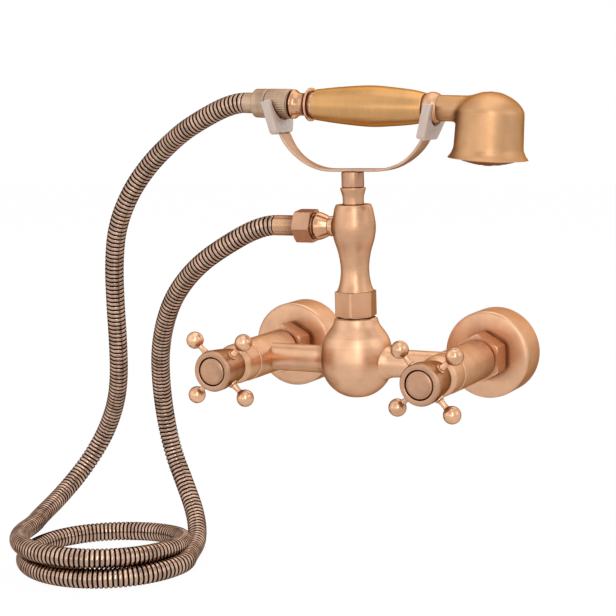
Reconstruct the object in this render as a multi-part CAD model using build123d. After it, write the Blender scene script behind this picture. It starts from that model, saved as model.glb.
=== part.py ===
"""Wall-mounted bath mixer with two cross handles, a column, a cradle and a hand shower on a ribbed hose.

Millimetres. X runs along the wall, Y points into the wall, Z is up. The origin is the point of the wall
midway between the two inlets.
"""

from build123d import *
from math import cos, pi, radians, sin, sqrt, tan
import os

# Layout
inlet_spacing = 150.0
body_reach = 72.8
branch_height = 92.0
handset_height = 172.9
handset_tilt = 2.43
fit = 0.1
slip = 0.3
hinge_gap = 0.4
disc_gap = 0.05

# Wall unions and flanges
union_bore = 8.2
tail_thread_radius = 10.48
tail_thread_depth = 15.0
union_shoulder = 6.0
union_body_radius = 12.2
union_thread_start = 20.0
union_thread_radius = 13.2
union_length = 33.0
broach_flats = 17.5
broach_depth = 8.0
flange_radius = 30.3
flange_depth = 24.5
flange_wall = 1.2
flange_rounding = 3.0
flange_clearance = 0.4

# Union nuts and their washers
nut_flats = 30.5
nut_start = 27.5
nut_length = 15.0
inlet_washer_thickness = 2.0
nut_bevel = 1.0
nut_turn = 30.0

# Mixer body
collar_radius = 12.3
collar_thickness = 3.0
tail_radius = 9.0
tail_bore = 6.5
barrel_radius = 14.0
barrel_start = 44.0
barrel_front = 97.0
cavity_radius = 9.2
cavity_floor = 66.0
port_radius = 5.0
arm_radius = 9.5
arm_bore = 4.5
arm_flare_start = 31.0
arm_flare_radius = 12.5
arm_flare_end = 21.0
bulb_radius = 24.8
bulb_centre = -1.2
cavity_belly = 19.0
spigot_start = 30.5
spigot_radius = 11.0
spigot_bore = 8.6
spigot_top = 39.0
neck_radius = 13.2

# Ceramic cartridges
seal_thickness = 3.0
seal_radius = 7.2
disc_radius = 7.3
disc_thickness = 2.5
disc_port_outer = 6.0
disc_port_inner = 2.0
disc_port_angle = 80.0
housing_radius = 8.2
housing_band = 9.1
housing_step = 84.0
housing_cavity = 7.6
housing_cavity_end = 79.0
housing_lift = 0.2
housing_collar_radius = 11.0
housing_collar_thickness = 2.0
housing_flats = 17.0
housing_hexagon = 5.0
stem_radius = 6.2
stem_setback = 2.6
window_width = 7.0
spindle_radius = 4.6
shoulder_radius = 6.9
shoulder_thickness = 4.5
square_side = 6.4
square_setback = 2.1
square_length = 15.5

# Bonnet sleeves
sleeve_radius = 13.6
sleeve_length = 12.0
sleeve_taper = 5.6
sleeve_front_radius = 10.5
sleeve_wall = 2.2
sleeve_web_setback = 8.6

# Handles, by distance along the axis from the sleeve's front
hub_rear_radius = 11.5
hub_waist_radius = 12.6
hub_front_radius = 13.8
hub_waist_reach = 7.4
hub_band_reach = 19.4
hub_bevel_reach = 24.9
hub_bevel_radius = 12.9
hub_reach = 26.6
cap_radius = 9.15
cap_recess_radius = 9.8
cap_recess_depth = 3.0
cap_rise = 0.5
screw_seat_reach = 18.4
screw_shank_radius = 1.95
screw_hole_radius = 2.1
screw_tip_reach = 5.9
screw_head_radius = 4.6
screw_head_height = 3.0
spoke_count = 4
spoke_angle = 45.0
spoke_reach = 15.2
spoke_root_radius = 2.5
spoke_root = 8.0
spoke_seat = 13.0
spoke_collar_radius = 3.2
spoke_collar_width = 1.5
spoke_neck_radius = 2.4
spoke_thin_radius = 1.7
ball_radius = 5.85
ball_reach = 26.5

# Column and its coupling
coupling_corner = 14.7
coupling_bottom = 31.5
coupling_top = 48.3
coupling_bevel = 0.7
coupling_turn = -20.4
column_washer_thickness = 1.5
column_tail_radius = 8.4
column_thread_radius = 9.45
seal_groove_height = 34.0
seal_groove_width = 2.2
seal_groove_depth = 1.5
column_foot = 12.5
column_waist = 9.6
column_waist_height = 63.5
column_belly = 14.8
column_belly_height = 93.0
column_shoulder = 13.1
column_shoulder_height = 104.1
column_neck = 7.2
column_neck_height = 107.0
column_lip = 8.66
column_top = 118.3
column_bore = 5.5
column_bore_top = 100.0

# Hose connection on the column
flat_distance = 14.0
adapter_root = 9.5
adapter_root_radius = 6.2
adapter_ring_radius = 6.9
adapter_ring_end = 17.2
adapter_cove_radius = 6.1
adapter_cove = 17.6
adapter_bead_radius = 9.5
adapter_bead = 26.0
adapter_bead_end = 27.4
adapter_thread_start = 27.8
adapter_thread_radius = 8.3
adapter_length = 37.3
adapter_bore = 4.2
hose_washer_thickness = 1.6
hose_washer_radius = 8.0
ferrule_collar_radius = 8.1
ferrule_collar_thickness = 1.4
hose_nut_corner = 12.2
hose_nut_start = 29.0
hose_nut_lip = 1.7
hose_nut_turn = 53.0

# Hose: outer diameter, groove and bore
hose_radius = 7.0
hose_groove = 0.75
hose_bore = 4.5
ferrule_radius = 7.05
ferrule_length = 20.7
hose_exit_run = 26.0

# Handset, by distance along its axis from the column's axis
ferrule_end = -80.5
ferrule_back = -61.0
connector_start = -72.0
connector_end = -44.0
connector_rear_radius = 9.8
connector_front_radius = 10.25
tail_neck_radius = 7.6
tail_ring_radius = 11.3
tail_ring_start = -31.0
tail_ring_width = 2.4
grip_start = -25.3
grip_end = 54.0
grip_rear_radius = 10.4
grip_belly_radius = 13.7
grip_belly = 14.6
grip_front_radius = 9.6
tail_spigot_radius = 8.4
tail_spigot_length = 7.3
tube_radius = 6.5
tube_bore = 5.0
bead_radius = 10.4
bead_end = 64.3
head_neck_radius = 8.5
bell_distance = 99.5
bell_rise = 11.4
bell_tilt = 1.9
bell_radius = 21.8
bell_waist = 22.5
bell_waist_height = 36.0
bell_mouth = 26.15
bell_height = 43.0
bell_wall = 1.6
plate_radius = 21.4
plate_thickness = 1.8
plate_bulge = 4.0
plate_bulge_radius = 19.0
plate_step_radius = 15.0
plate_flat_radius = 9.0
spray_seal_thickness = 1.0
inner_ring_radius = 6.5
inner_ring_count = 6
outer_ring_radius = 12.0
outer_ring_count = 12
spray_hole_radius = 0.8
boss_radius = 4.2
screw_depth = 30.0
neck_inset = 10.0
spray_screw_radius = 1.5
spray_screw_head = 3.2
spray_screw_head_height = 1.0

# Cradle
post_radius = 7.6
post_spigot_radius = 4.0
post_spigot_length = 10.4
post_bevel = 0.6
strap_bottom = 129.1
strap_thickness = 1.9
strap_middle_width = 9.5
strap_end_width = 14.0
strap_bend = 40.0
strap_taper_start = 40.0
strap_taper_end = 50.0
cradle_screw_head = 4.2
cradle_screw_shank = 2.4
cradle_screw_tip = 120.0
fork_plate = 4.0
fork_prong = 2.8
sleeve_thickness = 1.0
left_fork_root = (-50.9, 155.3)
left_fork_top = (-57.3, 176.8)
right_fork_root = (55.8, 150.3)
right_fork_top = (61.2, 172.2)
fork_corner = 7.0
left_strap_end = (-2.1, 4.7)
left_strap_reach = 10.7
right_strap_end = (0.7, 4.7)
right_strap_reach = 13.7

# Distances worked out from the sizes above
collar_rear = union_length + inlet_washer_thickness
collar_front = collar_rear + collar_thickness
disc_rear = cavity_floor + seal_thickness
disc_joint = disc_rear + disc_thickness
disc_front = disc_joint + disc_gap + disc_thickness
coupling_step = spigot_top + column_washer_thickness
hose_washer_end = adapter_length + hose_washer_thickness
ferrule_shoulder = hose_washer_end + ferrule_collar_thickness
hose_start = ferrule_shoulder + ferrule_length - ferrule_collar_thickness
tail_end = ferrule_back + ferrule_collar_thickness + hose_washer_thickness
sleeve_shoulder = barrel_front + sleeve_length
sleeve_front = sleeve_shoulder + sleeve_taper
sleeve_web = sleeve_front - sleeve_web_setback
stem_front = sleeve_front - stem_setback
square_start = sleeve_front - square_setback
square_end = square_start + square_length
hub_front = sleeve_front + hub_reach
cap_floor = hub_front - cap_recess_depth
cap_front = hub_front + cap_rise
screw_seat = sleeve_front + screw_seat_reach
screw_tip = sleeve_front + screw_tip_reach
tilt_cos = cos(radians(handset_tilt))
tilt_sin = sin(radians(handset_tilt))
handset_direction = Vector(tilt_cos, 0, -tilt_sin)
handset_down = Vector(-tilt_sin, 0, -tilt_cos)
handset_centre = Vector(0, -body_reach, handset_height)

column_axis = Plane((0, -body_reach, 0), (1, 0, 0), (0, 0, 1))
branch_axis = Plane((0, -body_reach, branch_height), (0, 1, 0), (-1, 0, 0))
handset_axis = Plane(handset_centre, handset_down, handset_direction)


def inlet_axis(side):
    """The axis of one inlet, valve and handle: local Z is the distance from the wall, local Y is up."""
    return Plane((side * inlet_spacing / 2, 0, 0), (1, 0, 0), (0, -1, 0))


def in_profile(points):
    """Points of (radius, height) in the plane that is spun."""
    return [(radius, 0, height) for radius, height in points]


def turned(points):
    """A turned piece whose closed outline is straight between its (radius, height) points."""
    return revolve(make_face(Polyline(*in_profile(points), close=True)), Axis.Z)


def turned_curve(curve, rest, tangents=()):
    """A turned piece with a smooth line through the points of curve and straight lines through the rest.

    The tangents, where given, are the smooth line's (radius, height) directions at its two ends.
    """
    smooth = Spline(*in_profile(curve), tangents=in_profile(tangents))
    straight = Polyline(*in_profile([curve[-1], *rest, curve[0]]))
    return revolve(make_face([smooth, straight]), Axis.Z)


def rod(radius, start, end):
    """A cylinder about Z from one height to another."""
    return Pos(0, 0, start) * Cylinder(radius, end - start, align=(Align.CENTER, Align.CENTER, Align.MIN))


def ring(outer, inner, start, end):
    """A flat ring about Z."""
    return turned([(inner, start), (outer, start), (outer, end), (inner, end)])


def hexagon(corner, start, end, turn=0.0):
    """A hexagonal bar about Z, sized across its corners."""
    outline = Rot(0, 0, turn) * RegularPolygon(corner, 6)
    return extrude(Pos(0, 0, start) * outline, end - start)


def bevelled_hexagon(corner, start, end, bevel, turn=0.0):
    """A hexagonal nut blank whose corners are turned off at both ends."""
    cone = [(0, start), (corner - bevel, start), (corner + bevel, start + bevel)]
    cone += [(corner + bevel, end - bevel), (corner - bevel, end), (0, end)]
    return hexagon(corner, start, end, turn) & turned(cone)


def across_flats(flats):
    """The radius at the corners of a hexagon."""
    return flats / sqrt(3)


# Wall connections


def wall_union():
    """Threaded connector with a hexagonal socket for its key."""
    outline = [
        (union_bore, -tail_thread_depth),
        (tail_thread_radius, -tail_thread_depth),
        (tail_thread_radius, union_shoulder),
        (union_body_radius, union_shoulder),
        (union_body_radius, union_thread_start),
        (union_thread_radius, union_thread_start),
        (union_thread_radius, union_length),
        (union_bore, union_length),
    ]
    socket = hexagon(across_flats(broach_flats), union_length - broach_depth, union_length)
    return turned(outline) - socket


def wall_flange():
    """Pressed cover, open to the wall, with a rounded front edge."""
    inner = flange_radius - flange_wall
    hole = union_thread_radius + flange_clearance
    outer_shape = rod(flange_radius, 0, flange_depth)
    front_edge = outer_shape.edges().group_by(Axis.Z)[-1]
    outer_shape = fillet(front_edge, flange_rounding)
    inner_shape = rod(inner, 0, flange_depth - flange_wall)
    inner_edge = inner_shape.edges().group_by(Axis.Z)[-1]
    inner_shape = chamfer(inner_edge, flange_rounding - flange_wall)
    return outer_shape - inner_shape - rod(hole, 0, flange_depth)


def union_nut():
    """Swivel nut whose lip pulls the mixer's collar onto the washer."""
    end = nut_start + nut_length
    blank = bevelled_hexagon(across_flats(nut_flats), nut_start, end, nut_bevel, nut_turn)
    thread = rod(union_thread_radius + 1.5 * fit, nut_start, collar_front)
    return blank - thread - rod(tail_radius + slip, collar_front, end)


def inlet_washer():
    return ring(collar_radius - 0.5, tail_radius + 0.2, union_length, collar_rear)


# Mixer body


def barrel():
    """One inlet tail and valve barrel, solid, about its own axis."""
    outline = [
        (0, collar_rear),
        (collar_radius, collar_rear),
        (collar_radius, collar_front),
        (tail_radius, collar_front),
        (tail_radius, barrel_start),
        (barrel_radius - 1, barrel_start),
        (barrel_radius, barrel_start + 1),
        (barrel_radius, barrel_front - slip),
        (barrel_radius - slip, barrel_front),
        (0, barrel_front),
    ]
    return turned(outline)


def barrel_bores():
    """The waterway and the seat of the cartridge in one barrel."""
    outline = [
        (0, collar_rear),
        (tail_bore, collar_rear),
        (tail_bore, cavity_floor - port_radius),
        (port_radius, cavity_floor - port_radius),
        (port_radius, cavity_floor),
        (cavity_radius, cavity_floor),
        (cavity_radius, barrel_front),
        (0, barrel_front),
    ]
    return turned(outline)


def arms():
    """Both arms in one turned bar along the wall, flaring into the bulb."""
    half = inlet_spacing / 2
    mid = (arm_flare_start + arm_flare_end) / 2
    right = [(arm_radius, arm_flare_start), (arm_radius + 0.6, mid), (arm_flare_radius, arm_flare_end)]
    flare = turned_curve(right, [(0, arm_flare_end), (0, arm_flare_start)])
    bar = rod(arm_radius, -half, half)
    return bar + flare + Rot(180, 0, 0) * flare


def bulb():
    """The round middle of the body with the neck and spigot above it."""
    outer = [
        (0, bulb_centre - bulb_radius),
        (bulb_radius / sqrt(2), bulb_centre - bulb_radius / sqrt(2)),
        (bulb_radius, bulb_centre),
        (bulb_radius - 3.1, bulb_centre + 18.1),
        (neck_radius + 3.0, spigot_start - 5.5),
        (neck_radius + 1.4, spigot_start - 1.0),
    ]
    rest = [(neck_radius, spigot_start), (spigot_radius, spigot_start)]
    rest += [(spigot_radius, spigot_top), (0, spigot_top)]
    return turned_curve(outer, rest, [(1, 0), (-0.3, 1)])


def bulb_cavity():
    """The hollow of the bulb with the bore of the spigot."""
    narrow = 0.6 * cavity_belly
    outline = [
        (0, bulb_centre - cavity_belly),
        (narrow, bulb_centre - cavity_belly + 2),
        (cavity_belly, bulb_centre - cavity_belly / 3),
        (cavity_belly, bulb_centre + cavity_belly / 3),
        (spigot_bore, bulb_centre + cavity_belly + 4),
        (spigot_bore, spigot_top),
        (0, spigot_top),
    ]
    return turned(outline)


def mixer_body():
    casting = Plane((0, -body_reach, 0), (0, 0, -1), (1, 0, 0)) * arms() + column_axis * bulb()
    for side in (-1, 1):
        casting += inlet_axis(side) * barrel()
    for side in (-1, 1):
        casting -= inlet_axis(side) * barrel_bores()
    half = inlet_spacing / 2 - cavity_radius / 2
    casting -= Plane((0, -body_reach, 0), (0, 0, -1), (1, 0, 0)) * rod(arm_bore, -half, half)
    return casting - column_axis * bulb_cavity()


# Ceramic cartridges


def ceramic_disc(start, turn):
    """Disc with two opposite openings, which pass water when they face those of the other disc."""
    end = start + disc_thickness
    sector = [(disc_port_inner, start), (disc_port_outer, start), (disc_port_outer, end), (disc_port_inner, end)]
    face = make_face(Polyline(*in_profile(sector), close=True))
    port = revolve(face, Axis.Z, revolution_arc=disc_port_angle)
    disc = rod(disc_radius, start, end)
    for half_turn in (0, 180):
        disc -= Rot(0, 0, turn + half_turn - disc_port_angle / 2) * port
    return disc


def seat_seal():
    return ring(seal_radius, port_radius, cavity_floor, disc_rear)


def cartridge_housing():
    """Brass housing with a cavity for the discs, a hexagon and a stem for the spindle."""
    rear = disc_rear + housing_lift
    collar_end = barrel_front + housing_collar_thickness
    hexagon_end = collar_end + housing_hexagon
    sleeve = [
        (0, rear),
        (housing_radius, rear),
        (housing_radius, housing_step),
        (housing_band, housing_step),
        (housing_band, barrel_front),
        (housing_collar_radius, barrel_front),
        (housing_collar_radius, collar_end),
        (stem_radius, collar_end),
        (stem_radius, stem_front),
        (0, stem_front),
    ]
    housing = turned(sleeve) + hexagon(across_flats(housing_flats), collar_end, hexagon_end)
    housing -= rod(housing_cavity, rear, housing_cavity_end)
    housing -= rod(spindle_radius + 0.8 * fit, rear, stem_front)
    window_height = housing_cavity_end - disc_joint
    window = Box(4 * housing_radius, window_width, window_height)
    return housing - Pos(0, 0, disc_joint + window_height / 2) * window


def spindle():
    """Spindle with its driving shoulder, round stem and square end."""
    shoulder_end = disc_front + shoulder_thickness
    stem = rod(shoulder_radius, disc_front, shoulder_end) + rod(spindle_radius, shoulder_end, square_start)
    square = Pos(0, 0, square_start + square_length / 2) * Box(square_side, square_side, square_length)
    return stem + square - rod(screw_shank_radius + fit / 2, screw_tip - 1, square_end)


def bonnet_sleeve():
    """Round cover over the cartridge's hexagon, closed in front but for the spindle's stem."""
    inner = sleeve_radius - sleeve_wall
    shoulder = [
        (sleeve_radius, sleeve_shoulder),
        (sleeve_radius - 0.5, sleeve_shoulder + 0.4 * sleeve_taper),
        (sleeve_front_radius, sleeve_front),
    ]
    rest = [
        (stem_radius + slip, sleeve_front),
        (stem_radius + slip, sleeve_web),
        (inner, sleeve_web),
        (inner, barrel_front),
        (sleeve_radius - slip, barrel_front),
        (sleeve_radius, barrel_front + slip),
    ]
    return turned_curve(shoulder, rest)


# Handles


def handle_hub():
    rear = sleeve_front + hinge_gap
    outer = [
        (hub_rear_radius, rear),
        (hub_waist_radius, sleeve_front + hub_waist_reach),
        (hub_front_radius, sleeve_front + hub_band_reach),
    ]
    rest = [
        (hub_front_radius, sleeve_front + hub_bevel_reach),
        (hub_bevel_radius, hub_front),
        (cap_recess_radius, hub_front),
        (cap_recess_radius, cap_floor),
        (screw_head_radius + 2 * slip, cap_floor),
        (screw_head_radius + 2 * slip, screw_seat),
        (screw_hole_radius, screw_seat),
        (screw_hole_radius, rear),
    ]
    hub = turned_curve(outer, rest)
    socket_length = square_end + fit - rear
    socket_side = square_side + fit
    hub -= Pos(0, 0, rear + socket_length / 2) * Box(socket_side, socket_side, socket_length)
    for spoke in range(spoke_count):
        hole = rod(spoke_root_radius + fit, spoke_root, spoke_seat)
        seat = rod(spoke_collar_radius + fit, spoke_seat, hub_front_radius + 1)
        hub -= spoke_place(spoke) * (hole + seat)
    return hub


def spoke_place(number):
    """The place of one spoke: its own Z runs outward from the handle's axis."""
    angle = radians(spoke_angle + number * 360 / spoke_count)
    return Plane((0, 0, sleeve_front + spoke_reach), (0, 0, 1), (cos(angle), sin(angle), 0))


def spoke():
    """One spoke turned in one piece with its ball."""
    collar_end = spoke_seat + spoke_collar_width
    neck_end = ball_reach - sqrt(ball_radius**2 - spoke_thin_radius**2)
    shaft = [
        (0, spoke_root),
        (spoke_root_radius, spoke_root),
        (spoke_root_radius, spoke_seat),
        (spoke_collar_radius, spoke_seat),
        (spoke_collar_radius, collar_end),
        (spoke_neck_radius, collar_end),
        (spoke_thin_radius, neck_end),
        (0, neck_end + fit),
    ]
    return turned(shaft) + Pos(0, 0, ball_reach) * Sphere(ball_radius)


def handle_spokes():
    return Compound([spoke_place(number) * spoke() for number in range(spoke_count)])


def handle_screw():
    head_start = screw_seat + fit
    head = rod(screw_head_radius, head_start, head_start + screw_head_height)
    return head + rod(screw_shank_radius, screw_tip, head_start)


def index_cap():
    """Bare cap with a slightly raised middle."""
    outline = [
        (0, cap_floor),
        (cap_radius, cap_floor),
        (cap_radius, hub_front - 0.4),
        (cap_radius - 1, hub_front),
        (cap_radius - 2.2, cap_front),
        (0, cap_front),
    ]
    return turned(outline)


# Column


def column_collar():
    """Hexagonal coupling that joins the column to the body's spigot."""
    blank = bevelled_hexagon(coupling_corner, coupling_bottom, coupling_top, coupling_bevel, coupling_turn)
    lower = rod(spigot_radius + fit, coupling_bottom, coupling_step)
    return blank - lower - rod(column_thread_radius + fit / 2, coupling_step, coupling_top)


def column_washer():
    return ring(spigot_radius - 0.3, spigot_bore, spigot_top, coupling_step)


def column_seal():
    groove = column_tail_radius - seal_groove_depth
    rim = spigot_bore - fit / 2
    return ring(rim, groove, seal_groove_height, seal_groove_height + seal_groove_width - 2 * fit)


def column():
    """Hollow turned pillar from its threaded tail to the lip that carries the cradle's post."""
    vase = [
        (column_foot, coupling_top),
        (10.6, 54.0),
        (column_waist, column_waist_height),
        (11.1, 74.5),
        (13.9, 84.0),
        (column_belly, column_belly_height),
        (column_shoulder, column_shoulder_height),
    ]
    groove = column_tail_radius - seal_groove_depth
    groove_top = seal_groove_height + seal_groove_width
    post_hole = post_spigot_radius + fit
    post_hole_floor = column_top - post_spigot_length - fit
    rest = [
        (column_shoulder - 1.2, column_neck_height),
        (column_neck, column_neck_height),
        (column_neck, 112.5),
        (column_lip, column_top - 1),
        (column_lip, column_top),
        (post_hole, column_top),
        (post_hole, post_hole_floor),
        (0, post_hole_floor),
        (0, column_bore_top),
        (column_bore, column_bore_top - column_bore / 2),
        (column_bore, coupling_bottom + 0.5),
        (column_tail_radius, coupling_bottom + 0.5),
        (column_tail_radius, seal_groove_height),
        (groove, seal_groove_height),
        (groove, groove_top),
        (column_tail_radius, groove_top),
        (column_tail_radius, coupling_step),
        (column_thread_radius, coupling_step),
        (column_thread_radius, coupling_top),
    ]
    pillar = column_axis * turned_curve(vase, rest)
    pillar -= branch_axis * rod(adapter_bore, 0, adapter_root)
    pillar -= branch_axis * rod(adapter_root_radius + fit, adapter_root, flat_distance)
    return pillar - branch_axis * rod(adapter_ring_radius + fit, flat_distance, flat_distance + 5)


# Hose connection


def outlet_adapter():
    """Turned connector with a bead and a thread for the hose's nut."""
    bead = [
        (adapter_cove_radius, adapter_cove),
        (adapter_cove_radius + 1.5, adapter_cove + 2.9),
        (adapter_bead_radius - 0.5, adapter_bead - 2.2),
        (adapter_bead_radius, adapter_bead),
        (adapter_thread_radius + 0.5, adapter_bead_end),
    ]
    rest = [
        (adapter_thread_radius, adapter_thread_start),
        (adapter_thread_radius, adapter_length),
        (adapter_bore, adapter_length),
        (adapter_bore, adapter_root),
        (adapter_root_radius, adapter_root),
        (adapter_root_radius, flat_distance),
        (adapter_ring_radius, flat_distance),
        (adapter_ring_radius, adapter_ring_end),
    ]
    return turned_curve(bead, rest)


def hose_washer(start):
    return ring(hose_washer_radius, hose_bore, start, start + hose_washer_thickness)


def hose_nut():
    """Hexagonal nut that holds the lower ferrule's collar on its washer."""
    end = ferrule_shoulder + hose_nut_lip
    blank = bevelled_hexagon(hose_nut_corner, hose_nut_start, end, nut_bevel, hose_nut_turn)
    thread = rod(adapter_thread_radius + fit, hose_nut_start, ferrule_shoulder)
    return blank - thread - rod(ferrule_radius + 2 * fit, ferrule_shoulder, end)


def ferrule(collar_start, collar_end, hose_end):
    """Pressed sleeve on the end of the hose, with the collar that its nut holds."""
    low, high = sorted((collar_end, hose_end))
    sleeve = ring(ferrule_radius, hose_bore, low, high)
    low, high = sorted((collar_start, collar_end))
    return sleeve + ring(ferrule_collar_radius, hose_bore, low, high)


# Hose

# The upper strand leaves the handset and comes down to the start of the lying loop.
upper_points = [
    (-130.3, -68.2, 165.7),
    (-151, -62, 149),
    (-171, -60, 132),
    (-189, -59, 112),
    (-204, -56, 87),
    (-214, -49, 58),
    (-219, -42, 26),
    (-223, -34, -6),
    (-232, -25, -36),
    (-244, -15, -62),
    (-258, -12, -88),
    (-268, -25, -111),
    (-270, -51, -127),
    (-258, -84, -133),
]

# The lower strand rises from the end of the loop to the column's branch.
lower_points = [
    (-127.5, -84.5, -148),
    (-136, -61, -144.5),
    (-153, -42, -133),
    (-173, -29, -114),
    (-185, -22, -91),
    (-190.5, -24, -62),
    (-188, -32, -33),
    (-180, -43, -7),
    (-168, -53, 16),
    (-153, -61, 37.5),
    (-132.5, -67.5, 59.5),
    (-110, -72, 78),
]

# The loop lies on the floor: quarter turns seen from above, from its left round the front.
coil_centre = (-188.5, -110.0)
coil_reaches = (69.5, 60.4, 47.5, 55.0, 56.8, 61.5, 61.0)
coil_heights = (-133.0, -133.0, -139.0, -148.0, -148.0, -148.0, -148.0)
coil_start_angle = 180.0

upper_ribs = 33
coil_ribs = 39
lower_ribs = 28
rib_edge = 0.16


def least_radius(points):
    """Each corner's radius on a route: 0.45 of the shorter run over the tangent of half the turn."""
    radii = []
    corners = [Vector(*point) for point in points]
    for before, corner, after in zip(corners, corners[1:], corners[2:]):
        run_in = corner - before
        run_out = after - corner
        half_turn = radians(run_in.get_angle(run_out)) / 2
        radii.append(0.45 * min(run_in.length, run_out.length) / tan(half_turn))
    return radii


def strand_path(points, name):
    """Straight runs joined by tangent arcs."""
    radii = least_radius(points)
    print(name, "radii", [round(radius) for radius in radii])
    return FilletPolyline(*points, radius=radii)


def coil_stations():
    """The point and direction of the hose at each quarter turn of the loop."""
    last = len(coil_reaches) - 1
    stations = []
    for quarter, (reach, height) in enumerate(zip(coil_reaches, coil_heights)):
        angle = radians(coil_start_angle + 90 * quarter)
        point = Vector(coil_centre[0] + reach * cos(angle), coil_centre[1] + reach * sin(angle), height)
        before = coil_heights[max(quarter - 1, 0)]
        after = coil_heights[min(quarter + 1, last)]
        slope = 0 if height in (before, after) else (after - before) / (pi * reach)
        stations.append((point, Vector(-sin(angle), cos(angle), slope).normalized()))
    return stations


def biarc(start, leaving, end, arriving):
    """Two tangent arcs from one point and direction to another."""
    span = end - start
    along = span.dot(leaving + arriving)
    spread = 2 - 2 * leaving.dot(arriving)
    handle = (-along + sqrt(along**2 + spread * span.dot(span))) / spread
    middle = (start + leaving * handle + end - arriving * handle) / 2
    first = Edge.make_tangent_arc(start, leaving, middle)
    return [first, Edge.make_tangent_arc(middle, first % 1, end)]


def coil_path():
    """The lying loop, a biarc for each quarter turn."""
    stations = coil_stations()
    arcs = []
    for (start, leaving), (end, arriving) in zip(stations, stations[1:]):
        arcs += biarc(start, leaving, end, arriving)
    print("coil radii", [round(arc.radius) for arc in arcs])
    return Wire(arcs)


def least_gap(path, samples=300):
    """The least gap of the tube to itself, measured between points a third of a turn apart or more."""
    apart = samples // 5
    points = [path @ (step / samples) for step in range(samples + 1)]
    distances = []
    for first in range(len(points) - apart):
        distances += [(points[first] - other).length for other in points[first + apart:]]
    return min(distances) - 2 * hose_radius


def carried_planes(path, places):
    """Planes square to the path, with the X axis carried from each to the next without twist."""
    along = path % 0
    steady = along.cross(Vector(0, 0, 1)).normalized()
    planes = []
    for place in places:
        along = path % place
        steady = (steady - along * steady.dot(along)).normalized()
        planes.append(Plane(path @ place, steady, along))
    return planes


def ribbed_hose(path, ribs):
    """Ribs ruled between a groove, two crest circles and the next groove, round an open bore."""
    groove = hose_radius - hose_groove
    places = []
    radii = []
    for rib in range(ribs):
        places += [rib / ribs, (rib + rib_edge) / ribs, (rib + 1 - rib_edge) / ribs]
        radii += [groove, hose_radius, hose_radius]
    places.append(1)
    radii.append(groove)
    circles = [plane * Circle(radius) for plane, radius in zip(carried_planes(path, places), radii)]
    bore_places = [step / ribs for step in range(ribs + 1)]
    bore_circles = [plane * Circle(hose_bore) for plane in carried_planes(path, bore_places)]
    hose = loft(circles, ruled=True) - loft(bore_circles, ruled=True)
    print("hose", round(path.length, 1), "volume share", round(hose.volume / path.length, 1))
    return hose


# Handset, about its own axis


def connector_nut():
    """Fluted conical nut between the hose and the handset."""
    outline = [
        (ferrule_radius + 2 * fit, connector_start),
        (connector_rear_radius - 0.6, connector_start),
        (connector_rear_radius, connector_start + 0.6),
        (connector_front_radius, connector_end),
        (hose_washer_radius + 3.5 * fit, connector_end),
        (hose_washer_radius + 3.5 * fit, ferrule_back),
        (ferrule_radius + 2 * fit, ferrule_back),
    ]
    return turned(outline)


def handset_tail():
    """Turned end of the handset: thread, cove, ring and the spigot inside the grip."""
    cove = [(10.0, -42.2), (8.1, -39.4), (tail_neck_radius, -36.0), (8.3, -33.2), (10.4, tail_ring_start)]
    ring_end = tail_ring_start + tail_ring_width
    spigot_end = grip_start + tail_spigot_length
    rest = [
        (tail_ring_radius, tail_ring_start + 0.5),
        (tail_ring_radius, ring_end - 0.5),
        (grip_front_radius, ring_end),
        (grip_front_radius, grip_start),
        (tail_spigot_radius, grip_start),
        (tail_spigot_radius, spigot_end),
        (hose_bore, spigot_end),
        (hose_bore, tail_end),
        (hose_washer_radius + 2.5 * fit, tail_end),
        (hose_washer_radius + 2.5 * fit, -42.2),
    ]
    return turned_curve(cove, rest)


def handset_tube():
    return ring(tube_radius, tube_bore, grip_start + tail_spigot_length, bead_end)


def handset_grip():
    """Turned grip, bored for the water tube and the tail's spigot."""
    rear_run = grip_belly - grip_start
    front_run = grip_end - grip_belly
    outer = [
        (grip_rear_radius, grip_start),
        (grip_belly_radius - 1.4, grip_belly - 0.556 * rear_run),
        (grip_belly_radius, grip_belly),
        (grip_belly_radius - 1.0, grip_belly + 0.44 * front_run),
        (grip_belly_radius - 2.4, grip_belly + 0.785 * front_run),
        (grip_front_radius, grip_end),
    ]
    bore = tube_radius + fit
    counterbore = tail_spigot_radius + fit
    spigot_end = grip_start + tail_spigot_length
    rest = [(bore, grip_end), (bore, spigot_end), (counterbore, spigot_end), (counterbore, grip_start)]
    return turned_curve(outer, rest)


def handset_collar():
    """Bead between the grip and the head."""
    middle = (grip_end + bead_end) / 2
    outer = [(8.6, grip_end), (9.9, middle - 2.8), (bead_radius, middle), (9.9, middle + 2.8), (8.6, bead_end)]
    bore = tube_radius + fit
    return turned_curve(outer, [(bore, bead_end), (bore, grip_end)])


# The bell of the head, about its own axis: height 0 is the top and heights grow downward.
bell_seat = bell_height - 3.3
plate_rear = bell_seat + spray_seal_thickness
plate_bottom = plate_rear + plate_thickness
plate_centre = plate_bottom + 1.5
plate_front = bell_height + plate_bulge
bell_bore = bell_radius - bell_wall
bell_lean = radians(handset_tilt + bell_tilt)
bell_axis = Plane(
    handset_centre + handset_direction * bell_distance - handset_down * bell_rise,
    (cos(bell_lean), 0, -sin(bell_lean)),
    (-sin(bell_lean), 0, -cos(bell_lean)),
)


def bell():
    """The bell's outer shape: a round dome, nearly straight sides and a flared mouth."""
    dome = [(0, 0), (12.5, 3.3), (bell_radius - 2, 9.4), (bell_radius, 15.0), (bell_waist, bell_waist_height)]
    upper = turned_curve(dome, [(0, bell_waist_height)], [(1, 0), (0, 1)])
    flare = [(bell_waist, bell_waist_height), (bell_waist + 0.9, bell_waist_height + 2.4), (bell_mouth, bell_height)]
    return upper + turned_curve(flare, [(0, bell_height), (0, bell_waist_height)])


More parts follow.
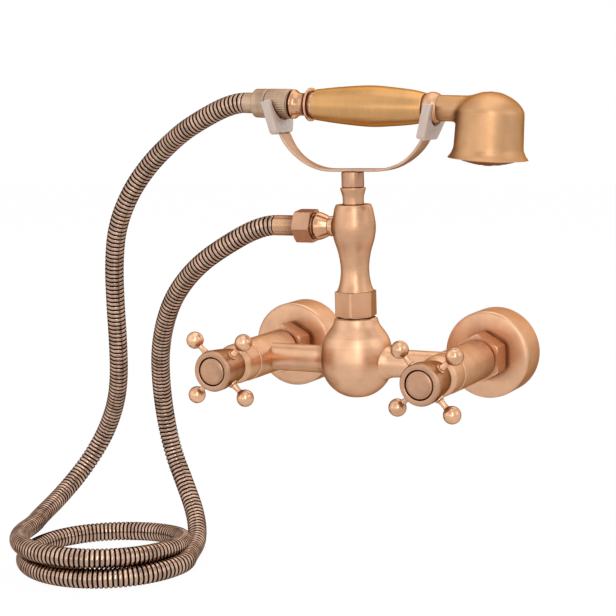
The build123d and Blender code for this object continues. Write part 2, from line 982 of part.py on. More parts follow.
def bell_cavity():
    """The water space under the dome, the step that seats the seal and the recess of the plate."""
    outline = [
        (0, bell_wall),
        (12.0, 3.1 + bell_wall),
        (bell_bore - 1.4, 8.8 + bell_wall),
        (bell_bore, 15.8),
        (bell_bore, bell_seat),
        (plate_radius + fit, bell_seat),
        (plate_radius + fit, bell_height),
        (0, bell_height),
    ]
    return turned(outline)


def handset_head():
    """Hollow bell with the neck towards the grip and the boss for the spray plate."""
    boss = rod(boss_radius, bell_wall / 2, plate_centre)
    boss -= rod(spray_screw_radius + fit / 2, plate_centre - screw_depth, plate_centre)
    head = bell_axis * bell() + handset_axis * rod(head_neck_radius, bead_end, bell_distance - neck_inset)
    head -= bell_axis * bell_cavity()
    head += bell_axis * boss
    bore_end = bell_distance - bell_radius + 2 * bell_wall
    return head - handset_axis * rod(tube_radius, bead_end, bore_end)


def spray_plate():
    """Plate bulging out of the bell in round steps, with rings of small holes."""
    step = (plate_front - plate_bottom) / 3
    outline = [
        (0, plate_centre),
        (boss_radius, plate_centre),
        (plate_bulge_radius - plate_thickness, plate_rear),
        (plate_radius, plate_rear),
        (plate_radius, plate_bottom),
        (plate_bulge_radius, plate_bottom),
        (plate_bulge_radius - 0.8, plate_bottom + step),
        (plate_step_radius, plate_bottom + 1.4 * step),
        (plate_step_radius - 0.8, plate_front - step),
        (plate_flat_radius, plate_front),
        (0, plate_front),
    ]
    plate = turned(outline) - rod(spray_screw_radius + fit, plate_rear, plate_front)
    rings = ((inner_ring_radius, inner_ring_count), (outer_ring_radius, outer_ring_count))
    for ring_radius, holes in rings:
        for place in PolarLocations(ring_radius, holes):
            plate -= place * rod(spray_hole_radius, bell_seat, plate_front)
    return plate


def spray_seal():
    return ring(plate_radius - slip, bell_bore + fit, bell_seat, plate_rear)


def spray_screw():
    shank = rod(spray_screw_radius, plate_centre - screw_depth / 2, plate_front)
    return shank + rod(spray_screw_head, plate_front, plate_front + spray_screw_head_height)


# Cradle


def cradle_post():
    """Short post on the column's lip, with a spigot below and a threaded hole above."""
    base = column_top - post_spigot_length
    outline = [
        (0, base),
        (post_spigot_radius, base),
        (post_spigot_radius, column_top),
        (post_radius - post_bevel, column_top),
        (post_radius, column_top + post_bevel),
        (post_radius, strap_bottom - post_bevel),
        (post_radius - post_bevel, strap_bottom),
        (0, strap_bottom),
    ]
    return turned(outline) - rod(cradle_screw_shank + fit / 2, cradle_screw_tip - 1, strap_bottom)


def fork_plane(root, top):
    """The leaning plane of a fork: local Z runs up its prongs, local Y is the real Y."""
    rise = Vector(top[0] - root[0], 0, top[1] - root[1])
    return Plane(Vector(root[0], -body_reach, root[1]), rise.cross(Vector(0, 1, 0)) * -1, rise)


def fork_slab(root, top, grown):
    """The plate that a fork is cut from, grown by the thickness of its liner."""
    height = Vector(top[0] - root[0], 0, top[1] - root[1]).length
    width = 2 * (fork_hollow + fork_prong + grown)
    slab = Box(fork_plate + 2 * grown, width, height + grown, align=(Align.CENTER, Align.CENTER, Align.MIN))
    corner = [edge for edge in slab.edges().filter_by(Axis.X) if edge.center().Z < 1]
    slab = fillet(corner, fork_corner)
    return fork_plane(root, top) * slab


def fork_slot(radius):
    """What the handset needs free: a round bed along its axis, open upward."""
    long = 2 * bell_distance
    bed = rod(radius, -long / 2, long / 2)
    height = 4 * bead_radius
    opening = Pos(-height / 2, 0, 0) * Box(height, 2 * radius, long)
    return handset_axis * (bed + opening)


fork_bed = bead_radius + slip
fork_hollow = fork_bed + sleeve_thickness


def beside(root, step):
    """An end of the strap's line, by its place beside the root of a fork."""
    return (root[0] + step[0], 0, root[1] + step[1])


def strap_line():
    """The strap's centre line from fork to fork, seen from the front."""
    middle = strap_bottom + strap_thickness / 2
    points = [
        beside(left_fork_root, left_strap_end),
        (left_fork_root[0] + left_strap_reach, 0, middle),
        (right_fork_root[0] - right_strap_reach, 0, middle),
        beside(right_fork_root, right_strap_end),
    ]
    return FilletPolyline(*points, radius=strap_bend)


def countersunk(grown):
    """A countersunk screw that ends flush with the strap, or the room for one."""
    shank = cradle_screw_shank + grown
    top = strap_bottom + strap_thickness
    outline = [
        (0, cradle_screw_tip),
        (shank, cradle_screw_tip),
        (shank, strap_bottom),
        (cradle_screw_head + grown, top),
        (0, top),
    ]
    return turned(outline)


def cradle_yoke():
    """Bent strap, narrow over the post, with an open fork at each end."""
    line = strap_line()
    section = Plane(line @ 0, (0, 1, 0), line % 0) * Rectangle(strap_end_width, strap_thickness)
    strap = Pos(0, -body_reach, 0) * sweep(section, path=line)
    half_end = strap_end_width / 2
    half_middle = strap_middle_width / 2
    right = [(strap_taper_start, half_middle), (strap_taper_end, half_end), (strap_taper_end + 15, half_end)]
    near = [(-x, y) for x, y in reversed(right)] + right
    outline = near + [(x, -y) for x, y in reversed(near)]
    plan = extrude(make_face(Polyline(*outline, close=True)), 60)
    yoke = strap & Pos(0, -body_reach, strap_bottom - 10) * plan
    for root, top in ((left_fork_root, left_fork_top), (right_fork_root, right_fork_top)):
        yoke += fork_slab(root, top, 0) - fork_slot(fork_hollow)
    return yoke - column_axis * countersunk(fit)


def fork_sleeve(root, top):
    """Milky liner round the prongs and the bed of one fork."""
    return fork_slab(root, top, sleeve_thickness) - fork_slot(fork_bed) - cradle_yoke()


def cradle_screw():
    return countersunk(0)


# The nodes: a piece's own frame and the piece

left, right = -1, 1
wall_pieces = {
    "wall_union": wall_union(),
    "wall_flange": wall_flange(),
    "union_nut": union_nut(),
    "inlet_washer": inlet_washer(),
    "seat_seal": seat_seal(),
    "cartridge_housing": cartridge_housing(),
    "fixed_disc": ceramic_disc(disc_rear, 0),
    "moving_disc": ceramic_disc(disc_joint + disc_gap, 90),
    "spindle": spindle(),
    "bonnet_sleeve": bonnet_sleeve(),
    "handle_hub": handle_hub(),
    "handle_spokes": handle_spokes(),
    "handle_screw": handle_screw(),
    "index_cap": index_cap(),
}
column_pieces = {
    "column_collar": column_collar(),
    "column_washer": column_washer(),
    "column_seal": column_seal(),
    "cradle_post": cradle_post(),
    "cradle_screw": cradle_screw(),
}
branch_pieces = {
    "outlet_adapter": outlet_adapter(),
    "outlet_washer": hose_washer(adapter_length),
    "hose_nut": hose_nut(),
    "hose_ferrule_lower": ferrule(hose_washer_end, ferrule_shoulder, hose_start),
}
handset_pieces = {
    "hose_ferrule_upper": ferrule(ferrule_back + ferrule_collar_thickness, ferrule_back, ferrule_end),
    "connector_nut": connector_nut(),
    "handset_washer": hose_washer(ferrule_back + ferrule_collar_thickness),
    "handset_tail": handset_tail(),
    "handset_tube": handset_tube(),
    "handset_grip": handset_grip(),
    "handset_collar": handset_collar(),
}
bell_pieces = {
    "spray_plate": spray_plate(),
    "spray_seal": spray_seal(),
    "spray_screw": spray_screw(),
}

nodes = {
    "mixer_body": mixer_body(),
    "column": column(),
    "handset_head": handset_head(),
    "cradle_yoke": cradle_yoke(),
    "fork_sleeve_left": fork_sleeve(left_fork_root, left_fork_top),
    "fork_sleeve_right": fork_sleeve(right_fork_root, right_fork_top),
}
for side, suffix in ((left, "_left"), (right, "_right")):
    for name, piece in wall_pieces.items():
        nodes[name + suffix] = inlet_axis(side) * piece
for axis, pieces in (
    (column_axis, column_pieces),
    (branch_axis, branch_pieces),
    (handset_axis, handset_pieces),
    (bell_axis, bell_pieces),
):
    for name, piece in pieces.items():
        nodes[name] = axis * piece

loop = coil_path()
upper_start = handset_centre + handset_direction * ferrule_end
upper_exit = upper_start - handset_direction * hose_exit_run
lower_end = Vector(-hose_start, -body_reach, branch_height)
lower_exit = lower_end - Vector(hose_exit_run, 0, 0)
upper = strand_path([upper_start, upper_exit, *upper_points, loop @ 0], "upper strand")
lower = strand_path([loop @ 1, *lower_points, lower_exit, lower_end], "lower strand")
print("loop's least gap", round(least_gap(loop), 2))
nodes["hose_upper"] = ribbed_hose(upper, upper_ribs)
nodes["hose_coil"] = ribbed_hose(loop, coil_ribs)
nodes["hose_lower"] = ribbed_hose(lower, lower_ribs)
print("hose length", round(upper.length + loop.length + lower.length))

os.makedirs("parts", exist_ok=True)
for name, node in nodes.items():
    export_step(node, "parts/" + name + ".step")
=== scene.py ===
"""Builds the visible pieces of a wall-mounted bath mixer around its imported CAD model.

The frame is the model's own: metres, X along the wall, Y into the wall, Z up, and the origin midway
between the two inlets. Sizes and outlines are written in millimetres, as on a workshop drawing, and a point
of an outline is (radius, height) from the piece's own axis.
"""

from functools import partial
from math import atan2, cos, pi, radians, sin, sqrt, tan

import bmesh
import bpy
from bpy.props import FloatProperty, FloatVectorProperty, IntProperty, PointerProperty
from mathutils import Matrix, Quaternion, Vector


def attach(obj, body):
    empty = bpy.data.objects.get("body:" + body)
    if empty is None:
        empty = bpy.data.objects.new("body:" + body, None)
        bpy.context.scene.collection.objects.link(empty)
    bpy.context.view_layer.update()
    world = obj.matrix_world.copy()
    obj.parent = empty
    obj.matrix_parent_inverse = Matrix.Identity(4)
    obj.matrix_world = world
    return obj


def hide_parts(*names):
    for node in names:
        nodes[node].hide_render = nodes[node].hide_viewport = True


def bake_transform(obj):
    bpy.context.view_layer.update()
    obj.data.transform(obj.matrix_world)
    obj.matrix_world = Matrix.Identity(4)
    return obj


bl_info = {
    "name": "Bath Mixer",
    "version": (1, 0, 0),
    "blender": (4, 5, 0),
    "location": "View3D > Sidebar > Mixer",
    "description": "Builds the pieces and finishes of a wall-mounted bath mixer around its frame",
    "category": "Object",
}

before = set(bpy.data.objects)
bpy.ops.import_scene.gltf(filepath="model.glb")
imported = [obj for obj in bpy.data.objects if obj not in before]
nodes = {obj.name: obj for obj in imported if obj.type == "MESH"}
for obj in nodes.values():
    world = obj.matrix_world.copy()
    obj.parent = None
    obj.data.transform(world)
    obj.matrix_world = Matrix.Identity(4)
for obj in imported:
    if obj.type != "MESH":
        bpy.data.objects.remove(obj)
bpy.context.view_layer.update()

# The CAD model's own places and sizes, in millimetres
MM = 0.001
INLETS = 75.0
REACH = 72.8
BRANCH_HEIGHT = 92.0
HANDSET_HEIGHT = 172.9
HANDSET_TILT = radians(2.43)
BELL_DISTANCE = 99.5
BELL_RISE = 11.4
BELL_LEAN = HANDSET_TILT + radians(1.9)
NECK = 8.5
FORK_BED = 10.7
FORK_HOLLOW = 11.7
BALL = 5.85
BALL_HEIGHT = 26.5
FLOOR_LEVEL = -155.6

SIDES = ((-1, "_left"), (1, "_right"))


def linear(code):
    """A colour of linear light from an sRGB hex value."""
    parts = [int(code[i:i + 2], 16) / 255 for i in (1, 3, 5)]
    return tuple(part / 12.92 if part <= 0.04045 else ((part + 0.055) / 1.055) ** 2.4 for part in parts)


def axis_place(origin, x_axis, z_axis):
    """The matrix from a piece's own axis to the frame."""
    along = Vector(z_axis).normalized()
    across = Vector(x_axis).normalized()
    place = Matrix((across, along.cross(across), along)).transposed().to_4x4()
    place.translation = Vector(origin) * MM
    return place


handset_way = Vector((cos(HANDSET_TILT), 0, -sin(HANDSET_TILT)))
handset_down = Vector((-sin(HANDSET_TILT), 0, -cos(HANDSET_TILT)))
handset_centre = Vector((0, -REACH, HANDSET_HEIGHT))
column_axis = axis_place((0, -REACH, 0), (1, 0, 0), (0, 0, 1))
wall_bar_axis = axis_place((0, -REACH, 0), (0, 0, -1), (1, 0, 0))
branch_axis = axis_place((0, -REACH, BRANCH_HEIGHT), (0, 1, 0), (-1, 0, 0))
handset_axis = axis_place(handset_centre, handset_down, handset_way)
bell_centre = handset_centre + handset_way * BELL_DISTANCE - handset_down * BELL_RISE
bell_axis = axis_place(
    bell_centre, (cos(BELL_LEAN), 0, -sin(BELL_LEAN)), (-sin(BELL_LEAN), 0, -cos(BELL_LEAN)))


def inlet_axis(side):
    """The axis of one inlet, valve and handle: its Z is the distance from the wall and its Y is up."""
    return axis_place((side * INLETS, 0, 0), (1, 0, 0), (0, -1, 0))


# Sizes and colours that a user would change


class MixerSizes(bpy.types.PropertyGroup):
    rib_pitch: FloatProperty(
        name="Rib pitch", description="Distance between two ribs of the hose",
        default=0.00325, min=0.002, max=0.02, subtype="DISTANCE", unit="LENGTH")
    hose_radius: FloatProperty(
        name="Hose radius", description="Radius over the ribs of the hose",
        default=0.007, min=0.004, max=0.02, subtype="DISTANCE", unit="LENGTH")
    groove_depth: FloatProperty(
        name="Groove depth", description="Depth of the grooves between the ribs",
        default=0.0008, min=0.0, max=0.003, subtype="DISTANCE", unit="LENGTH")
    turned_faces: IntProperty(
        name="Turned faces", description="Faces round a turned piece",
        default=96, min=24, max=192)
    edge_rounding: FloatProperty(
        name="Edge rounding", description="Rounding of a turned piece's edges",
        default=0.0004, min=0.0, max=0.002, subtype="DISTANCE", unit="LENGTH")
    spoke_count: IntProperty(
        name="Spokes", description="Spokes of each handle", default=4, min=2, max=8)


def colour(name, code, description):
    return FloatVectorProperty(
        name=name, description=description, default=linear(code), size=3, min=0, max=1, subtype="COLOR")


class MixerColours(bpy.types.PropertyGroup):
    satin: colour("Satin copper", "#C89A78", "Brushed copper of the column")
    pale: colour("Pale copper", "#D6A886", "Paler satin of the body and the flanges")
    matt: colour("Matt copper", "#C2946A", "Yellower matt copper of the bell")
    golden: colour("Golden copper", "#C4945F", "Warmer satin of the grip")
    antique: colour("Antique copper", "#B48A6E", "Browner copper of the handles, nuts and cradle post")
    aged: colour("Aged copper", "#B3977F", "Greyer copper of the hose's nuts and ferrules")
    strip: colour("Rolled copper", "#C7A48B", "Rolled strip of the cradle")
    hose: colour("Hose copper", "#BE9F8B", "Crests of the hose's ribs")
    patina: colour("Patina", "#4A2A1C", "Dark patina left in edges and grooves")
    milky: colour("Milky plastic", "#E8D3C6", "Liners of the cradle's forks")
    floor: colour("Floor", "#FFFFFF", "Floor and background")


# Materials
#
# A Mix node of colours takes its share at input 0 and its colours at 6 and 7, and gives its result at output 2.

# Nearly all values of a noise texture lie in this range.
NOISE_RANGE = {"From Min": 0.3, "From Max": 0.7}


def add_node(tree, kind, inputs=None, output=0, **settings):
    """Adds a node with its settings and with the values or links of its inputs, and gives one of its outputs."""
    node = tree.nodes.new(kind)
    for name, value in settings.items():
        setattr(node, name, value)
    for key, value in (inputs or {}).items():
        socket = node.inputs[key]
        if isinstance(value, bpy.types.NodeSocket):
            tree.links.new(value, socket)
        else:
            socket.default_value = (*value, 1) if socket.type == "RGBA" else value
    return node.outputs[output] if node.outputs else node


def new_material(name):
    """A node material with an empty tree, and the function that adds its nodes."""
    material = bpy.data.materials.new(name)
    material.use_nodes = True
    material.node_tree.nodes.clear()
    return material, partial(add_node, material.node_tree)


def toned(base, share, lift=0.0):
    """A darker or paler tone of a colour."""
    return tuple(min(1.0, part * share + lift) for part in base)


# Painted shade: what the metals' reflections are darkened to at a glancing angle, so that dark lines run along the
# silhouettes
PAINTED_METAL_EDGE_SHADE = linear("#8A6A58")
PAINTED_HOSE_EDGE_SHADE = linear("#2E1C12")


def brushed_metal(name, base, patina, axis, roughness, cloud=0.06, grain=0.05):
    """Plated brass brushed on the lathe: fine scratches run round the piece's axis.

    The eye sees soft wide highlights drawn out along the scratches, slight clouds in the plating, dark
    patina where the brush could not reach and a paler metal on worn edges.
    """
    material, add = new_material(name)
    place = add("ShaderNodeTexCoord", output="Object")
    # Brush scratches are about 0.1 mm apart and 10 mm long; they are drawn 0.35 mm apart so that they show.
    stretch = [90.0, 90.0, 90.0]
    stretch["xyz".index(axis)] = 2800.0
    stretched = add("ShaderNodeMapping", {"Vector": place, "Scale": stretch})
    scratches = add("ShaderNodeTexNoise", {"Vector": stretched, "Scale": 1.0, "Detail": 4.0, "Roughness": 0.65})
    # Clouds in the plating are about 12 mm across.
    clouds = add("ShaderNodeTexNoise", {"Vector": place, "Scale": 80.0, "Detail": 3.0, "Roughness": 0.55})
    shade = add("ShaderNodeMapRange", {"Value": clouds, **NOISE_RANGE, "To Min": -cloud, "To Max": cloud})
    streak = add("ShaderNodeMapRange", {"Value": scratches, **NOISE_RANGE, "To Min": -grain, "To Max": grain})
    level = add("ShaderNodeMath", {0: shade, 1: streak}, operation="ADD")
    ramp = add("ShaderNodeMapRange", {"Value": level, "From Min": -0.2, "From Max": 0.2})
    deep, pale = toned(base, 0.72), toned(base, 1.28, 0.02)
    body = add("ShaderNodeMix", {0: ramp, 6: deep, 7: pale}, 2, data_type="RGBA")
    # Outer edges are rubbed paler, and inner ones keep their patina.
    wear = add("ShaderNodeAttribute", output="Fac", attribute_name="wear")
    edge = add("ShaderNodeMapRange", {"Value": wear, "To Max": 0.35})
    dirt = add("ShaderNodeMapRange", {"Value": wear, "From Max": -1.0, "To Max": 0.85})
    worn = add("ShaderNodeMix", {0: edge, 6: body, 7: pale}, 2, data_type="RGBA")
    stained = add("ShaderNodeMix", {0: dirt, 6: worn, 7: patina}, 2, data_type="RGBA")
    rough = add("ShaderNodeMapRange", {
        "Value": scratches, **NOISE_RANGE, "To Min": roughness - 0.05, "To Max": roughness + 0.06})
    bump = add("ShaderNodeBump", {"Strength": 0.12, "Distance": 0.00015, "Height": scratches})
    # Painted shade: the metal's reflections are darkened where it is seen at a glancing angle, so that its
    # silhouettes are edged dark.
    shader = add("ShaderNodeBsdfPrincipled", {
        "Base Color": stained, "Roughness": rough, "Normal": bump, "Metallic": 1.0, "Specular Tint": PAINTED_METAL_EDGE_SHADE})
    add("ShaderNodeOutputMaterial", {"Surface": shader})
    return material


def wound_metal(name, crest, patina):
    """Wound metal hose, plated and antiqued: pale rubbed crests, grooves darkened nearly to black as painted shade,
    and painted shade on the tube's sides.
    """
    material, add = new_material(name)
    place = add("ShaderNodeTexCoord", output="Object")
    # The rubbed patches on the crests are about 9 mm across.
    clouds = add("ShaderNodeTexNoise", {"Vector": place, "Scale": 110.0, "Detail": 4.0, "Roughness": 0.6})
    patch = add("ShaderNodeMapRange", {"Value": clouds, "From Min": 0.35, "From Max": 0.65})
    rubbed = add("ShaderNodeMix", {0: patch, 6: toned(crest, 0.68), 7: toned(crest, 1.2)}, 2, data_type="RGBA")
    # Painted shade: the grooves take the patina darkened nearly to black, for the shade that falls between the ribs.
    groove = add("ShaderNodeAttribute", output="Fac", attribute_name="groove")
    depth = add("ShaderNodeMapRange", {"Value": groove, "From Min": 0.05, "From Max": 0.5},
                interpolation_type="SMOOTHSTEP")
    tone = add("ShaderNodeMix", {0: depth, 6: rubbed, 7: toned(patina, 0.15)}, 2, data_type="RGBA")
    rough = add("ShaderNodeMapRange", {"Value": clouds, **NOISE_RANGE, "To Min": 0.17, "To Max": 0.29})
    # Painted shade: the reflections turn dark at a glancing angle, so that the tube's sides are shaded dark.
    shader = add("ShaderNodeBsdfPrincipled", {
        "Base Color": tone, "Roughness": rough, "Metallic": 1.0, "Specular Tint": PAINTED_HOSE_EDGE_SHADE})
    add("ShaderNodeOutputMaterial", {"Surface": shader})
    return material


def moulded_plastic(name, base):
    """Milky plastic, moulded: light goes a little way in, and the skin has a soft sheen."""
    material, add = new_material(name)
    place = add("ShaderNodeTexCoord", output="Object")
    # The flow of the mould shows as patches about 7 mm across.
    flow = add("ShaderNodeTexNoise", {"Vector": place, "Scale": 140.0, "Detail": 2.0})
    tone = add("ShaderNodeMix", {0: flow, 6: toned(base, 0.93), 7: base}, 2, data_type="RGBA")
    shader = add("ShaderNodeBsdfPrincipled", {
        "Base Color": tone, "Roughness": 0.38, "IOR": 1.5, "Transmission Weight": 0.4, "Subsurface Weight": 0.35,
        "Subsurface Radius": (0.004, 0.004, 0.004)})
    add("ShaderNodeOutputMaterial", {"Surface": shader})
    return material


def plain_material(name, base, metallic, roughness, scale):
    """A finish of a hidden piece, with slight variation from machining or moulding, 2.5 to 5 mm across."""
    material, add = new_material(name)
    place = add("ShaderNodeTexCoord", output="Object")
    noise = add("ShaderNodeTexNoise", {"Vector": place, "Scale": scale, "Detail": 3.0})
    tone = add("ShaderNodeMix", {0: noise, 6: toned(base, 0.8), 7: base}, 2, data_type="RGBA")
    shader = add("ShaderNodeBsdfPrincipled", {
        "Base Color": tone, "Metallic": metallic, "Roughness": roughness})
    add("ShaderNodeOutputMaterial", {"Surface": shader})
    return material


finishes = {}


def make_finishes(colours):
    """Every finish on the object; a brushed one is named for the axis that its piece was turned about."""
    patina = tuple(colours.patina)
    for key, base, *values in (
            ("satin_x", colours.satin, 0.36),
            ("satin_z", colours.satin, 0.36),
            ("antique_x", colours.antique, 0.33, 0.1, 0.06),
            ("antique_y", colours.antique, 0.33, 0.1, 0.06),
            ("antique_z", colours.antique, 0.33, 0.1, 0.06),
            ("pale_y", colours.pale, 0.38),
            ("pale_z", colours.pale, 0.38),
            ("bright_x", colours.satin, 0.22, 0.12, 0.06),
            ("rubbed_y", colours.pale, 0.26, 0.16, 0.04),
            ("golden_x", colours.golden, 0.34, 0.04, 0.06),
            ("matt_z", colours.matt, 0.4, 0.05, 0.04),
            ("aged_x", colours.aged, 0.34, 0.16, 0.12)):
        word, axis = key.split("_")
        name = word + "_copper_turned_about_" + axis
        finishes[key] = brushed_metal(name, tuple(base), patina, axis, *values)
    finishes["strip"] = brushed_metal("rolled_copper_strip", tuple(colours.strip), patina, "y", 0.38, 0.1, 0.05)
    finishes["hose"] = wound_metal("wound_hose_antique_copper", tuple(colours.hose), patina)
    finishes["milky"] = moulded_plastic("milky_moulded_plastic", tuple(colours.milky))
    finishes["brass"] = plain_material("turned_brass", linear("#C9A25A"), 1.0, 0.3, 300.0)
    finishes["steel"] = plain_material("turned_stainless_steel", linear("#B9B9B9"), 1.0, 0.3, 300.0)
    finishes["ceramic"] = plain_material("lapped_alumina", linear("#EDE9DF"), 0.0, 0.15, 200.0)
    finishes["rubber"] = plain_material("moulded_nitrile_rubber", linear("#262524"), 0.0, 0.6, 400.0)


# Meshes


def smooth_line(points, steps):
    """Points of a smooth line through the given ones, in steps between each two."""
    line = []
    last = len(points) - 1
    for i in range(last):
        p0, p1, p2, p3 = (Vector(points[min(max(i + k, 0), last)]) for k in (-1, 0, 1, 2))
        if i == 0:
            p0 = p1 * 2 - p2
        if i == last - 1:
            p3 = p2 * 2 - p1
        for step in range(steps):
            t = step / steps
            point = 0.5 * (2 * p1 + (p2 - p0) * t + (2 * p0 - 5 * p1 + 4 * p2 - p3) * t**2
                           + (3 * p1 - p0 - 3 * p2 + p3) * t**3)
            line.append(tuple(point))
    return line + [tuple(points[-1])]


def softened(outline, rounding, closed):
    """The outline with its corners rounded, as (radius, height, wear)."""
    count, steps, smooth_bend = len(outline), 3, radians(18)
    points = [Vector(point) for point in outline]
    area = sum(a.x * b.y - b.x * a.y for a, b in zip(points, points[1:] + points[:1]))
    result = []
    for i, point in enumerate(points):
        if not closed and i in (0, count - 1):
            result.append((point.x, point.y, 0.0))
            continue
        before, after = points[i - 1], points[(i + 1) % count]
        run_in, run_out = point - before, after - point
        if run_in.length < 1e-6 or run_out.length < 1e-6:
            continue
        angle = atan2(run_in.x * run_out.y - run_in.y * run_out.x, run_in.dot(run_out))
        if abs(angle) < smooth_bend:
            result.append((point.x, point.y, 0.0))
            continue
        # Wear is 1 on an outer edge and -1 in an inner one.
        wear = (1 if angle * area > 0 else -1) * min(1.0, abs(angle) / (pi / 2))
        # Each rounding takes less than half of a short side, so that two never meet.
        cut = min(rounding, 0.45 * run_in.length, 0.45 * run_out.length)
        start, end = point - run_in.normalized() * cut, point + run_out.normalized() * cut
        for step in range(steps + 1):
            t = step / steps
            spot = start * (1 - t)**2 + point * (2 * t * (1 - t)) + end * t**2
            result.append((spot.x, spot.y, wear))
    return result


def round_point(radius, angle, height):
    """A point in metres from its place round a piece's own axis."""
    return Vector((radius * cos(angle), radius * sin(angle), height)) * MM


def new_piece(name, data):
    """A new object in the scene that holds a mesh, curve, camera or lamp."""
    piece = bpy.data.objects.new(name, data)
    bpy.context.scene.collection.objects.link(piece)
    return piece


def shaded(mesh):
    """Smooth shading, with the edges kept sharp that turn by more than 34 degrees."""
    mesh.shade_smooth()
    mesh.set_sharp_from_angle(angle=radians(34))
    return mesh


def skinned(name, rings, closed=False, capped=False):
    """A new piece over rings of (point in metres, wear); a ring of one point is a pole."""
    bm = bmesh.new()
    wear_layer = bm.verts.layers.float.new("wear")
    rows = []
    for ring in rings:
        rows.append([bm.verts.new(point) for point, wear in ring])
        for vertex, (point, wear) in zip(rows[-1], ring):
            vertex[wear_layer] = wear
    for low, high in zip(rows, rows[1:] + rows[:1] if closed else rows[1:]):
        count = max(len(low), len(high))
        for k in range(count):
            j = (k + 1) % count
            corners = [low[k % len(low)], low[j % len(low)], high[j % len(high)], high[k % len(high)]]
            corners = list(dict.fromkeys(corners))
            if len(corners) > 2:
                bm.faces.new(corners)
    if capped:
        bm.faces.new(rows[0])
        bm.faces.new(rows[-1])
    bmesh.ops.recalc_face_normals(bm, faces=bm.faces)
    mesh = bpy.data.meshes.new(name)
    bm.to_mesh(mesh)
    bm.free()
    return new_piece(name, shaded(mesh))


def turned(name, outline, place, rounding=None, faces=None, form=None):
    """A turned piece: the outline is spun about the Z axis of its place.

    An outline that starts and ends on the axis is closed there, and any other is joined to its own start.
    form changes a point's radius from (radius, height, angle), for flats and flutes.
    """
    sizes = bpy.context.scene.mixer_sizes
    rounding = sizes.edge_rounding / MM if rounding is None else rounding
    faces = faces or sizes.turned_faces
    closed = not (outline[0][0] == 0 and outline[-1][0] == 0)
    rings = []
    for radius, height, wear in softened(outline, rounding, closed):
        if radius < 1e-6:
            rings.append([(place @ round_point(0, 0, height), 0.0)])
            continue
        ring = []
        for k in range(faces):
            angle = 2 * pi * k / faces
            reach = form(radius, height, angle) if form else radius
            ring.append((place @ round_point(reach, angle, height), wear))
        rings.append(ring)
    return skinned(name, rings, closed)


def turned_piece(part, side, outline, place, body, finish, slot, **more):
    """A turned piece that stands for the CAD node of its name; side is empty, _left or _right."""
    return settle(turned(part + "_piece" + side, outline, place, **more), body, finish, slot, part + side)


def hexagonal(corner, turn):
    """The form of a hexagonal nut, sized across its corners, which are slightly rounded."""
    flat = corner * cos(pi / 6)

    def form(radius, height, angle):
        away = (angle - radians(turn)) % (pi / 3) - pi / 6
        return min(radius, flat / cos(away), corner - 0.15)
    return form


def nut_outline(corner, start, end, bevel, bore, extra):
    """The outline of a hexagonal nut whose corners are turned off at both ends."""
    cuts = 6
    front = [(corner - bevel + 2 * bevel * k / cuts, start + bevel * k / cuts) for k in range(cuts + 1)]
    back = [(corner + bevel - 2 * bevel * k / cuts, end - bevel + bevel * k / cuts) for k in range(cuts + 1)]
    return [(bore, start), *front, *back, (bore, end), *extra]


def thread_outline(root, crest, start, pitch, count, flank, land):
    """The outline of a thread, drawn as rings."""
    outline = []
    for k in range(count):
        foot = start + pitch * k
        top = foot + flank
        outline += [(root, foot), (crest, top), (crest, top + land), (root, top + land + flank)]
    return outline


def joined(name, pieces):
    """One piece from several, kept as separate shells."""
    bm = bmesh.new()
    bm.verts.layers.float.new("wear")
    for piece in pieces:
        bm.from_mesh(piece.data)
    mesh = bpy.data.meshes.new(name)
    bm.to_mesh(mesh)
    bm.free()
    for piece in pieces:
        bpy.data.objects.remove(piece)
    return new_piece(name, shaded(mesh))


def combined(piece, others, operation):
    """Joins the others to the piece, or cuts them out of it."""
    for other in others:
        cutter = piece.modifiers.new("combine", "BOOLEAN")
        cutter.operation = operation
        cutter.solver = "EXACT"
        cutter.object = other
    flatten(piece)
    for other in others:
        bpy.data.objects.remove(other)
    shaded(piece.data)


def flatten(piece):
    """Turns what the piece's modifiers make into its own mesh."""
    graph = bpy.context.evaluated_depsgraph_get()
    mesh = bpy.data.meshes.new_from_object(
        piece.evaluated_get(graph), preserve_all_data_layers=True, depsgraph=graph)
    piece.modifiers.clear()
    mesh.name = piece.name
    piece.data = mesh


def grown(piece, tree, values):
    """Turns what a Geometry Nodes tree makes of the piece into its own mesh."""
    modifier = piece.modifiers.new(tree.name, "NODES")
    modifier.node_group = tree
    for item in tree.interface.items_tree:
        if item.item_type == "SOCKET" and item.in_out == "INPUT" and item.name in values:
            modifier[item.identifier] = values[item.name]
    flatten(piece)


def settle(piece, body, finish, slot, *replaced):
    """Gives a piece its finish and its body, and hides the CAD nodes that it stands for."""
    piece.data.materials.clear()
    piece.data.materials.append(finishes[finish])
    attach(piece, body)
    if replaced:
        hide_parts(*replaced)
    return piece


def repaint(finish, *names):
    """Gives CAD nodes that stay a better material."""
    for name in names:
        nodes[name].data.materials.clear()
        nodes[name].data.materials.append(finishes[finish])


# Node trees


def new_tree(name, inputs):
    """A Geometry Nodes tree, the function that adds its nodes, and the outputs of its input node."""
    tree = bpy.data.node_groups.new(name, "GeometryNodeTree")
    for label, kind in (("Geometry", "NodeSocketGeometry"), *inputs, ("Material", "NodeSocketMaterial")):
        tree.interface.new_socket(label, in_out="INPUT", socket_type=kind)
    tree.interface.new_socket("Geometry", in_out="OUTPUT", socket_type="NodeSocketGeometry")
    add = partial(add_node, tree)
    return tree, add, add("NodeGroupInput").node.outputs


def end_tree(tree, add, given, geometry):
    """Ends a tree in real geometry with the given material."""
    real = add("GeometryNodeRealizeInstances", {"Geometry": geometry})
    painted = add("GeometryNodeSetMaterial", {"Geometry": real, "Material": given["Material"]})
    add("NodeGroupOutput", {"Geometry": painted})
    return tree


